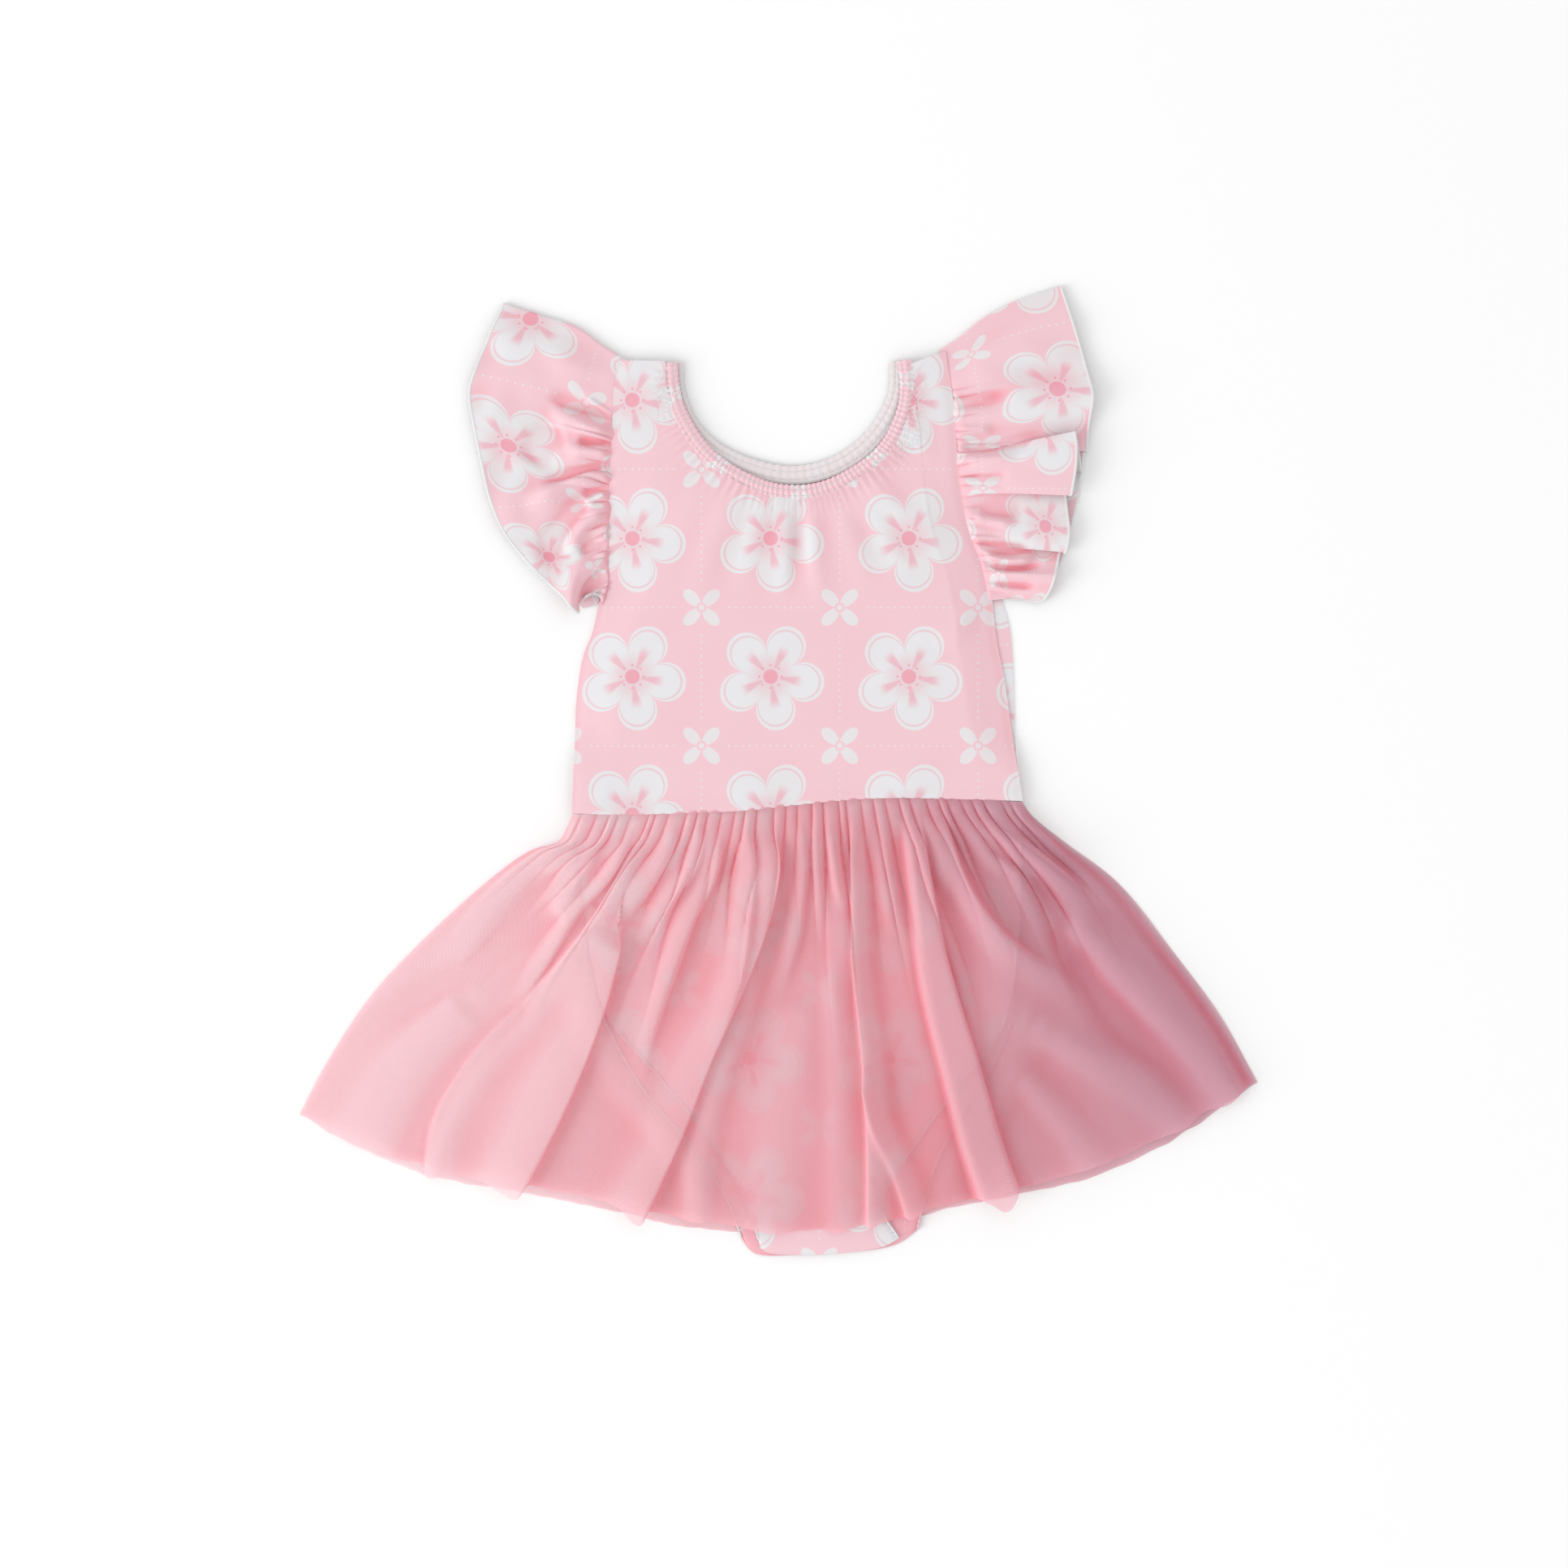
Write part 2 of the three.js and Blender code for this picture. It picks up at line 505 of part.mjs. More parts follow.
// The places on a waved hem, evenly spaced along the hem and the armhole together.
function waves(rows, count) {
  const curve = new THREE.CatmullRomCurve3(
    rows.map((row) => new THREE.Vector3(row.x, row.y, row.z)), false, "centripetal",
  );
  const fine = steps(rows.length * 16).map((t) => {
    const place = t * (rows.length - 1);
    const i = Math.min(Math.floor(place), rows.length - 2);
    const between = (key) => mix(rows[i][key], rows[i + 1][key], place - i);
    return { seam: between("seam"), bow: between("bow"), point: curve.getPoint(t) };
  });
  const along = [0];
  for (let i = 1; i < fine.length; i++) {
    const onHem = fine[i].point.distanceTo(fine[i - 1].point);
    const onSeam = (fine[i].seam - fine[i - 1].seam) * ARMHOLE_LENGTH;
    along.push(along[i - 1] + onHem + onSeam);
  }
  return steps(count).map((t) => fine[along.findIndex((a) => a >= (t - 1e-9) * along.at(-1))]);
}

// A flutter sleeve: its front layer, the fold over the shoulder and its back layer in one wall. side is 1
// on the left and -1 on the right. The front layer runs straight from its seam to its hem, and rises fastest
// near the seam.
function sleeve({ armholeFront, armholeBack, fold, hemFront, hemBack, smoothFrom }, folds, side) {
  const seamFront = beside(line(armholeFront), side * SLEEVE_SEAM_GAP);
  const seamBack = beside(line(armholeBack), side * SLEEVE_SEAM_GAP);
  const foldLine = line([seamFront.at(1), ...fold.slice(1)]);
  const hem = waves(hemFront, SLEEVE_COLUMNS);
  const back = patch(seamBack, line(hemBack), line([seamBack.at(0), hemBack[0]]), foldLine);
  const frontPoint = ({ seam, bow, point }, v) => {
    const start = seamFront.at(seam);
    const low = frontSeamHeight(start.y) + CLOTH / 2;
    const way = point.clone().sub(start).setZ(0).normalize();
    const p = start.lerp(point, v);
    const aside = 4 * bow * v * (1 - v) * side;
    p.x += way.y * aside;
    p.y -= way.x * aside;
    p.add(foldLine.at(v).sub(seamFront.at(1).lerp(hem.at(-1).point, v)).setZ(0).multiplyScalar(seam ** 4));
    p.z = mix(low, Math.max(point.z, ON_BACK + CLOTH / 2), 1 - (1 - v) ** 2.2);
    const belowFold = 1 - ease(0.82, 1, seam);
    raiseFolds(folds, p, (along) => belowFold * mix(0.35, 1, ease(0, 0.35, along)) * ease(0, 0.06, seam));
    const gather = 0.5 + 0.5 * Math.cos(2 * Math.PI * SLEEVE_GATHERS * seam);
    const gathered = (1 - ease(smoothFrom, smoothFrom + 0.12, seam)) * (1 - ease(0.05, 0.5, v));
    p.z += SLEEVE_GATHER_HEIGHT * gather * gathered;
    return p;
  };
  const grid = steps(7).map((v) => {
    const top = hem.map((place) => frontPoint(place, v));
    const under = steps(10).reverse().map((a) => lift(back(a, v), BACK_LAYER + CLOTH / 2));
    const along = foldLine.at(v + 0.01).sub(foldLine.at(v - 0.01)).normalize();
    const radius = (top.at(-1).z - under[0].z) / 2;
    const turn = lift(top.at(-1), under[0].z + radius);
    turn.x += side * along.y * radius;
    turn.y -= side * along.x * radius;
    return [...top, turn, ...under];
  });
  return wallOnBothSides(side > 0 ? grid : grid.slice().reverse());
}

// How far the brief holds the skirt's front layer up: fully over the brief, easing off beside it.
const briefLeft = line(BRIEF_BACK_LEFT);
const briefRight = line(BRIEF_BACK_RIGHT);
function heldByBrief(p) {
  const edgeAt = (side) => (side.points.find((q) => q.y <= p.y) ?? side.points.at(-1)).x;
  const outside = Math.max(edgeAt(briefLeft) - p.x, p.x - edgeAt(briefRight));
  return 1 - ease(6, 26, outside);
}

function skirtFront() {
  const top = beside(waist, -SEAM_GAP);
  const at = patch(
    line(HEM_FRONT), top, line(SKIRT_LEFT.slice().reverse()), line(SKIRT_RIGHT.slice().reverse()), SKIRT_HOLD,
  );
  const down = [0, 0.03, 0.07, 0.13, 0.21, 0.32, 0.46, 0.62, 0.8, 1];
  const grid = down.slice().reverse().map((t) =>
    steps(SKIRT_GATHERS * 3).map((s) => {
      const p = at(s, 1 - t);
      const edge = ease(0, 0.03, s) * ease(0, 0.03, 1 - s);
      const held = heldByBrief(p);
      p.z = mix(ON_BACK, ON_BRIEF, held) + CLOTH / 2;
      const swell = mix(GATHER_AT_SEAM, GATHER_HEIGHT, ease(0, 0.07, t)) * (1 - ease(0.12, 0.5, t));
      const wave = 0.5 + 0.5 * Math.cos(2 * Math.PI * SKIRT_GATHERS * s);
      p.z += swell * wave * edge;
      return raiseFolds(SKIRT_FOLDS, p, (along) => edge * ease(0.04, 0.24, t) * ease(0, 0.2, along + 0.04));
    }),
  );
  return wallOnBothSides(grid);
}

function skirtBack() {
  const top = beside(waist, -SEAM_GAP);
  const at = patch(
    line(HEM_BACK), top, line(SKIRT_LEFT.slice().reverse()), line(SKIRT_RIGHT_BACK.slice().reverse()), SKIRT_HOLD,
  );
  const down = [0, 0.1, 0.25, 0.5, 0.75, 1];
  const lower = down.slice().reverse().map((t) =>
    steps(BACK_GATHERS * 2).map((s, c) => {
      const groove = c % 2 ? BACK_GROOVE * (1 - ease(0, 0.4, t)) : 0;
      return lift(at(s, 1 - t), BACK_LAYER + groove);
    }),
  );
  return wall(lower, lower.map((row) => row.map((p) => lift(p, BACK_LAYER + CLOTH))));
}

function briefBack() {
  const tucked = sample(waist, 12, 0.004, 0.996).map((p) => ({ x: p.x, y: p.y + TUCK }));
  const outline = [
    ...sample(briefLeft, 20).slice(1, -1),
    ...sample(line(CROTCH_BACK), 10).slice(0, -1),
    ...sample(briefRight, 20).reverse().slice(0, -1),
    ...tucked.reverse(),
  ];
  return panel(outline, BRIEF_BACK_LAYER);
}

function briefFront() {
  const tucked = line(WAIST.map((p) => ({ x: p.x * 0.994, y: p.y + TUCK })));
  const at = patch(
    line(CROTCH_FRONT), tucked,
    line(BRIEF_FRONT_LEFT.slice().reverse()), line(BRIEF_FRONT_RIGHT.slice().reverse()),
  );
  const across = [0, 0.04, 0.2, 0.4, 0.6, 0.8, 0.96, 1];
  const lower = steps(LEG_STEPS).map((v) => across.map((u) => lift(at(u, v), BRIEF_FRONT_LAYER)));
  const upper = lower.map((row, r) =>
    row.map((p, c) => {
      const atLeg = r / LEG_STEPS < LEG_SHARE && (c === 0 || c === row.length - 1) && r % 2;
      return lift(p, p.z + CLOTH - (atLeg ? LEG_RIB : 0));
    }),
  );
  return wall(lower, upper);
}

const leotard = new THREE.Group();
function sew(name, geometry, material) {
  const mesh = new THREE.Mesh(geometry, material);
  mesh.name = name;
  leotard.add(mesh);
}

sew("bodice_front", bodiceFront(), PINK_KNIT);
sew("bodice_back", bodiceBack(), PINK_KNIT);
sew("neck_casing_front", casing(neckFront, FRONT_CASING, BODICE_LOFT), PINK_KNIT);
sew("neck_casing_back", casing(neckBack, BACK_CASING, ON_BACK), PINK_KNIT);
sew("sleeve_left", sleeve(SLEEVE_LEFT, SLEEVE_LEFT_FOLDS, 1), PINK_KNIT);
sew("sleeve_right", sleeve(SLEEVE_RIGHT, SLEEVE_RIGHT_FOLDS, -1), PINK_KNIT);
sew("brief_front", briefFront(), PINK_KNIT);
sew("brief_back", briefBack(), PINK_KNIT);
sew("skirt_front", skirtFront(), PINK_NET);
sew("skirt_back", skirtBack(), PINK_NET);

export default leotard;
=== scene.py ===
# A toddler's ballet leotard with flutter sleeves and a gathered net skirt, laid flat with its front up.
# Sizes and places are in millimetres in the CAD's frame: +X right, +Y towards the neck, +Z up.
# They are turned to metres where a mesh is made. Left and right name the sides as seen from above.
import math
from collections import namedtuple
from functools import partialmethod

import bpy
import numpy as np
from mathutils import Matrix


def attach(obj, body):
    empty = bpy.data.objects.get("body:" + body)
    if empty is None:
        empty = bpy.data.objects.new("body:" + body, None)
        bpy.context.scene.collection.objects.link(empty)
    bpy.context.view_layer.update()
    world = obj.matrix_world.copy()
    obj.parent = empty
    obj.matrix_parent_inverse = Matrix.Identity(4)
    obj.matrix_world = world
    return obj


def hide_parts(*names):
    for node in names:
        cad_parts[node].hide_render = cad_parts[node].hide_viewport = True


MM = 0.001
TURN = 2 * math.pi

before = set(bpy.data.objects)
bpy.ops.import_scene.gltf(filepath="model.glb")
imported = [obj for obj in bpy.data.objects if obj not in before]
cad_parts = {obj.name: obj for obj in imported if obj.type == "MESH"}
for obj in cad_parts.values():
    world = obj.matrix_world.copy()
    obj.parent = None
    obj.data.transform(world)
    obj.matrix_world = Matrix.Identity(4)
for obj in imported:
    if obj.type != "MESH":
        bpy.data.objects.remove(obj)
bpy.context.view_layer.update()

# The photograph is square and looks straight down. One of its pixels is 0.4 mm.
VIEW_WIDTH = 772.8
VIEW_CENTRE = (2.6, -6.8)
CAMERA_HEIGHT = 2000
SENSOR_WIDTH = 36

# Heights of each layer, as in the CAD: cloth 1 mm thick with 0.3 mm between layers
CLOTH = 1.0
GAP = 0.3
ON_BACK = CLOTH + GAP
BRIEF_BACK_LAYER = CLOTH + GAP
BRIEF_FRONT_LAYER = BRIEF_BACK_LAYER + CLOTH + GAP
ON_BRIEF = BRIEF_FRONT_LAYER + CLOTH + GAP
SHOULDER_HEIGHT = 3.3
BODICE_LOFT = 3.5

# How thick the sheets made here are. The nets are single layers.
KNIT = 0.6
CASING_KNIT = 0.5
BRIEF_KNIT = 0.5
SLEEVE_KNIT = 0.4

# A casing's height is that of its seam, and loft is how far it stands up from there. lowest_rib is how high
# it is between two gathers, as a share of its height on them.
Casing = namedtuple("Casing", "width gathers height loft lowest_rib seed")
CASING_FRONT = Casing(7, 74, 3.4, 1.9, 0.76, 31)
CASING_BACK = Casing(9, 44, 1.2, 1.5, 0.86, 32)
# The two grooves that its rows of stitches pull into it, as shares of its width and height
GROOVES = (0.30, 0.74)
GROOVE_WIDTH = 0.055
GROOVE_DEPTH = 0.28
STITCH_RADIUS = 0.17

OVERLOCK_RADIUS = 0.68
OVERLOCK_PITCH = 1.6
LEG_EDGE_RADIUS = 0.58
LEG_EDGE_LIFT = 0.15

# Heights of the brief's upper side from the underside of its layer, and the lowest and highest it may reach
BRIEF_RISE = 0.65
BRIEF_LOWEST = -0.65
BRIEF_HIGHEST = 1.15
CROTCH_DIP = 0.9

# About how far each panel reaches, to turn a share of it into millimetres
BODICE_WIDTH = 200
BODICE_DEPTH = 220
SKIRT_DEPTH = 205
SKIRT_BACK_DEPTH = 210
BRIEF_WIDTH = 160
BRIEF_DEPTH = 215
SLEEVE_DEPTH = 60

# Columns and rows of each sheet's grid of points
BODICE_FRONT_GRID = (210, 180)
BODICE_BACK_GRID = (90, 90)
SKIRT_FRONT_GRID = (576, 150)
SKIRT_BACK_GRID = (300, 90)
BRIEF_GRID = (64, 300)
SLEEVE_FRONT_COLUMNS = 300
SLEEVE_BACK_COLUMNS = 60
SLEEVE_ROWS = 64
LEG_EDGE_STEPS = 300

# One place on the hem of a waved sleeve: the share of the armhole that it comes from, and where it lies.
# bow moves the middle of the line between the two sideways, away from the armpit.
Wave = namedtuple("Wave", "seam x y z bow", defaults=[0])

# Outlines
WAIST = [
    (-101.8, -21.2), (-79, -22), (-46, -21.2), (-12, -19.6), (14, -16.6), (48, -13.9), (84, -14.2),
    (120, -15.2),
]
SIDE_LEFT = [(-101.8, -21.2), (-100.6, 10), (-99.2, 39), (-96, 57), (-92, 67), (-88.6, 82)]
ARMHOLE_LEFT = [
    (-88.6, 82), (-85.6, 92), (-85, 105), (-83.5, 139), (-82, 168), (-80.6, 192), (-77.8, 201.6),
]
SIDE_RIGHT_FRONT = [(120, -15.2), (116.2, 9), (111, 45.6), (107.4, 63.6), (105.2, 84)]
SIDE_RIGHT_BACK = [(120, -15.2), (117, 8), (115, 55), (113.6, 70), (109.6, 84)]
ARMHOLE_RIGHT = [
    (105.2, 84), (100.5, 103), (96.2, 113.5), (92.6, 125), (88.4, 150), (86.2, 179), (82, 206.2),
]
ARMHOLE_RIGHT_BACK = [SIDE_RIGHT_BACK[-1]] + ARMHOLE_RIGHT[1:]
NECK_FRONT = [
    (-50, 200.6), (-49, 189), (-45.6, 177), (-32, 157), (-7.5, 142.6), (9.4, 140), (26, 143.6),
    (47.6, 157.8), (57.6, 175), (59.8, 188), (58.6, 201.2),
]
NECK_BACK = [
    (-47, 200.6), (-46.6, 188), (-39.6, 171), (-25.8, 158.6), (4, 149.6), (26.2, 154), (43, 166.3),
    (53.8, 184.6), (54.8, 201.2),
]
SKIRT_LEFT = [
    (-101.6, -21.7), (-104.7, -29), (-108.5, -35), (-122, -39.4), (-137.1, -49.5), (-168.7, -77.2),
    (-200.4, -110.4), (-224.2, -146.8), (-236, -169.5),
]
SKIRT_RIGHT = [
    (119.8, -15.7), (123.5, -22.5), (138.5, -36), (164.5, -56.6), (191.5, -90.2), (215, -122.2),
    (233.5, -154),
]
SKIRT_RIGHT_BACK = [
    (119.8, -15.7), (125, -22.5), (140.4, -35), (167.3, -55.6), (194.2, -89.2), (217.8, -121.2),
    (236, -153.8),
]
HEM_FRONT = [
    (-236, -169.5), (-206, -184), (-166, -197.5), (-126, -204), (-85, -212), (-45, -220.5), (0, -226.2),
    (45, -223.5), (80, -214), (120, -205), (157, -194.5), (194, -177.5), (233.5, -154),
]
HEM_BACK = [
    (-236, -169.5), (-206, -186.5), (-166, -201.5), (-126, -208), (-85, -216.5), (-45, -225),
    (0, -228.4), (45, -227), (80, -216.5), (120, -208.6), (157, -199.5), (194, -182), (236, -153.8),
]
BRIEF_BACK_LEFT = [
    (-101.4, -21.2), (-96.6, -60), (-91.8, -96), (-86, -122), (-66, -158), (-42, -186), (-25, -212),
    (-18.4, -230),
]
BRIEF_BACK_RIGHT = [
    (119.4, -15.4), (119.2, -52), (117.6, -88), (113.4, -126), (99, -156), (84, -180), (73, -206),
    (68.4, -226),
]
BRIEF_FRONT_LEFT = BRIEF_BACK_LEFT[:3] + [(-85, -120), (-58, -152), (-32, -184), (-15, -214), (-9.8, -231)]
BRIEF_FRONT_RIGHT = BRIEF_BACK_RIGHT[:3] + [(111, -124), (88, -156), (66, -186), (50.6, -214), (59, -230.4)]
CROTCH_BACK = [(-18.4, -230), (-12, -237.8), (8, -238.8), (32, -237.8), (58, -233.4), (68.4, -226)]
CROTCH_FRONT = [(-9.8, -231), (-7.6, -236.6), (8, -238.6), (32, -237.7), (52, -234.4), (59, -230.4)]
SLEEVE_LEFT = {
    "smooth_from": 0.66,
    "armhole_front": ARMHOLE_LEFT,
    "armhole_back": ARMHOLE_LEFT,
    "fold": [(-77.8, 201.6), (-88, 209), (-99.2, 217), (-118, 223.6), (-135.4, 229.2)],
    "hem_front": [
        Wave(0.00, -88.5, 86.0, 1.8), Wave(0.03, -90.4, 86.8, 4.0), Wave(0.06, -92.6, 86.6, 2.6),
        Wave(0.09, -94.6, 85.4, 5.2), Wave(0.12, -96.8, 83.6, 2.6), Wave(0.15, -98.6, 81.0, 4.4, 4),
        Wave(0.165, -98.4, 77.4, 7.6, 6), Wave(0.185, -101.4, 79.6, 9.2, 7), Wave(0.21, -106.0, 85.6, 8.0, 6),
        Wave(0.25, -112.0, 91.0, 5.6, 3), Wave(0.30, -119.0, 97.8, 4.0), Wave(0.35, -128.0, 107.8, 3.4),
        Wave(0.40, -136.0, 119.0, 4.4), Wave(0.45, -142.3, 134.6, 4.8), Wave(0.52, -146.2, 151.6, 3.4),
        Wave(0.62, -149.6, 168.7, 4.2), Wave(0.72, -152.2, 186.0, 3.8), Wave(0.80, -148.9, 197.6, 4.4),
        Wave(0.90, -143.2, 211.2, 3.4), Wave(1.00, -135.4, 229.2, 2.4),
    ],
    "hem_back": [
        (-96, 80), (-112, 90), (-126, 105), (-139, 126), (-147, 156), (-150.4, 184), (-145.6, 204),
        (-135.4, 229.2),
    ],
}
SLEEVE_RIGHT = {
    "smooth_from": 0.80,
    "armhole_front": ARMHOLE_RIGHT,
    "armhole_back": ARMHOLE_RIGHT_BACK,
    "fold": [(82, 206.2), (88.5, 211.6), (100, 221), (114, 229), (139, 237.6)],
    "hem_front": [
        Wave(0.00, 118.0, 85.0, 1.8), Wave(0.03, 129.0, 83.2, 2.8), Wave(0.07, 133.4, 88.8, 5.4),
        Wave(0.12, 135.6, 96.0, 6.2), Wave(0.155, 137.0, 101.5, 5.2), Wave(0.18, 138.0, 106.5, 3.2),
        Wave(0.205, 139.6, 110.5, 3.0), Wave(0.235, 140.6, 106.8, 4.6), Wave(0.265, 141.8, 110.8, 6.4),
        Wave(0.31, 142.6, 118.5, 6.0), Wave(0.36, 141.6, 128.0, 4.6), Wave(0.40, 140.8, 138.0, 3.2),
        Wave(0.415, 141.4, 141.6, 4.0), Wave(0.43, 142.2, 138.4, 5.6), Wave(0.442, 143.2, 134.8, 7.4),
        Wave(0.47, 144.4, 140.0, 8.8), Wave(0.51, 145.8, 150.0, 9.0), Wave(0.55, 146.0, 160.0, 8.8),
        Wave(0.575, 145.0, 166.6, 7.6), Wave(0.59, 146.2, 162.0, 5.8), Wave(0.60, 147.8, 153.0, 4.4),
        Wave(0.61, 148.9, 146.8, 3.0), Wave(0.62, 149.6, 153.5, 2.4), Wave(0.63, 150.2, 161.0, 2.8),
        Wave(0.64, 151.2, 156.4, 3.6), Wave(0.68, 152.2, 168.0, 3.2), Wave(0.74, 153.8, 182.6, 6.0),
        Wave(0.82, 152.4, 192.0, 4.4), Wave(0.88, 149.4, 204.0, 4.2), Wave(0.94, 144.0, 222.0, 3.4),
        Wave(1.00, 139.0, 237.6, 2.4),
    ],
    "hem_back": [
        (118, 86), (130, 90), (138, 101), (144, 121), (149, 148), (151.4, 180), (148, 207.6),
        (144, 222), (139, 237.6),
    ],
}

# A fold's crest runs through its points, away from its seam. left and right are the widths of its two flanks,
# as seen along that run. lean moves its crest to the right of the run, spread pushes both flanks out until
# they overhang, and drop lengthens the hem at its end. A trough is a fold with a height below 0.
Fold = namedtuple("Fold", "height left right crest lean spread drop", defaults=[0, 0, 0])
SKIRT_FOLDS = [
    Fold(3.5, 7, 10, [(-97, -28), (-103, -41), (-120, -48), (-142, -70), (-158, -94), (-172, -122)]),
    Fold(-2.2, 7, 9, [(-105, -70), (-118, -76), (-140, -91), (-163, -106), (-182, -118), (-196, -134)]),
    Fold(3.2, 16, 14, [(-152, -112), (-172, -130), (-190, -150), (-214, -188)], drop=2),
    Fold(3.4, 4, 6, [(-86, -26), (-94, -44), (-106, -62), (-118, -76)], lean=-1),
    Fold(5.0, 4, 6, [(-71, -26), (-84, -50), (-101, -68), (-113, -88), (-125, -107), (-138, -124)], lean=-2),
    Fold(-2.6, 6, 8, [(-118, -112), (-134, -130), (-150, -146), (-164, -168), (-182, -204)], drop=-2),
    Fold(
        4.6, 10, 5,
        [(-66, -34), (-82, -66), (-100, -90), (-122, -116), (-150, -146), (-166, -174), (-171, -202)],
        lean=2, drop=5,
    ),
    Fold(4.6, 4, 5, [(-52, -24), (-54, -36), (-62, -51), (-73, -66), (-82, -82)], lean=-2),
    Fold(
        7.2, 4, 17,
        [(-80, -78), (-85, -96), (-90, -114), (-98, -136), (-112, -168), (-132, -206)],
        lean=-5, drop=6,
    ),
    Fold(4.4, 3.5, 5, [(-42, -24), (-39, -34), (-43, -47), (-52, -59), (-62, -74), (-71, -90)], lean=-2),
    Fold(4.6, 4, 6, [(-29, -24), (-34, -52), (-44, -72), (-56, -104), (-66, -136), (-70, -170)], lean=-2),
    Fold(4.4, 3.5, 5, [(-17, -26), (-16, -42), (-19, -69), (-25, -97), (-33, -124), (-42, -150)], lean=-2.5),
    Fold(
        7.0, 4, 13,
        [(-3, -24), (-5, -50), (-9, -70), (-19, -98), (-34, -130), (-53, -178), (-72, -219)],
        lean=-5, drop=7,
    ),
    Fold(3.0, 7, 8, [(-8, -92), (-16, -117), (-26, -144), (-34, -168), (-38, -198), (-40, -219)], drop=2),
    Fold(2.4, 8, 7, [(24, -96), (28, -130), (30, -170), (30, -232)], drop=2),
    Fold(-1.4, 5, 6, [(4, -60), (-4, -92), (-16, -126)]),
    Fold(4.0, 4, 5, [(9, -20), (11, -42), (9, -68), (5, -92), (-6, -122)], lean=-1.5),
    Fold(3.0, 4, 4, [(17, -20), (18.6, -42), (20, -66), (20, -90)]),
    Fold(4.0, 4, 4, [(24, -18), (27, -36), (31, -58), (35, -72)], lean=1),
    Fold(2.2, 14, 14, [(10, -110), (6, -140), (-2, -176), (-7, -236)], drop=2),
    Fold(
        5.6, 7, 3.5,
        [(37, -18), (39, -42), (40, -70), (40, -90), (43, -120), (46, -150), (48, -190), (48, -236)],
        lean=3.5, drop=2,
    ),
    Fold(2.6, 5, 5, [(50, -18), (52, -44), (56, -70), (60, -92)]),
    Fold(4.4, 7, 4, [(46, -150), (51, -172), (60, -196), (68, -221)], lean=2.5, drop=3),
    Fold(
        7.6, 7, 7,
        [(65, -18), (67, -42), (71, -70), (75, -95), (81, -120), (89, -148), (99, -184), (109, -213)],
        lean=-2, spread=4, drop=10,
    ),
    Fold(3.0, 4, 4, [(73, -20), (77, -44), (82, -66)]),
    Fold(
        6.4, 4, 8,
        [(79, -18), (82, -37), (89, -56), (98, -71), (110, -85), (121, -94), (135, -101), (150, -118)],
        lean=-3,
    ),
    Fold(3.6, 4, 5, [(91, -18), (96, -31), (104, -44), (115, -52), (123, -64), (129, -80)], lean=-1.5),
    Fold(5.0, 5, 6, [(99, -17), (105, -29), (116, -38), (130, -48), (148, -60), (168, -72)], lean=-2),
    Fold(-3.0, 7, 9, [(122, -50), (134, -66), (142, -82), (152, -92), (164, -106)]),
    Fold(5.6, 15, 13, [(140, -72), (160, -88), (180, -106), (200, -130), (222, -168)], drop=3),
    Fold(-3.0, 9, 11, [(142, -88), (158, -108), (176, -126), (196, -144), (218, -174)], drop=-2),
    Fold(3.8, 10, 12, [(124, -124), (142, -134), (162, -144), (180, -156), (204, -182)], drop=2),
    Fold(2.4, 9, 9, [(118, -150), (132, -164), (146, -180), (162, -206)], drop=2),
]
BODICE_FOLDS = [
    Fold(0.7, 8, 8, [(-30, 148), (-48, 122), (-60, 96)]),
    Fold(1.0, 7, 7, [(-20, 140), (-34, 108), (-44, 68)]),
    Fold(0.8, 5, 5, [(-8, 134), (-14, 108), (-20, 84)]),
    Fold(1.1, 4, 5, [(4, 132), (3, 104), (0, 76)]),
    Fold(-0.8, 4, 4, [(10, 132), (10, 106), (9, 82)]),
    Fold(1.1, 5, 4, [(16, 132), (18, 104), (22, 72)]),
    Fold(0.8, 6, 6, [(28, 136), (38, 108), (46, 78)]),
    Fold(1.2, 6, 6, [(42, 146), (56, 130), (76, 116)]),
    Fold(0.9, 6, 6, [(36, 140), (52, 116), (66, 90)]),
    Fold(0.9, 7, 7, [(-58, 196), (-70, 176), (-80, 160)]),
    Fold(0.7, 6, 6, [(64, 172), (74, 158), (84, 150)]),
    Fold(1.0, 6, 6, [(100, 84), (90, 70), (74, 60)]),
]
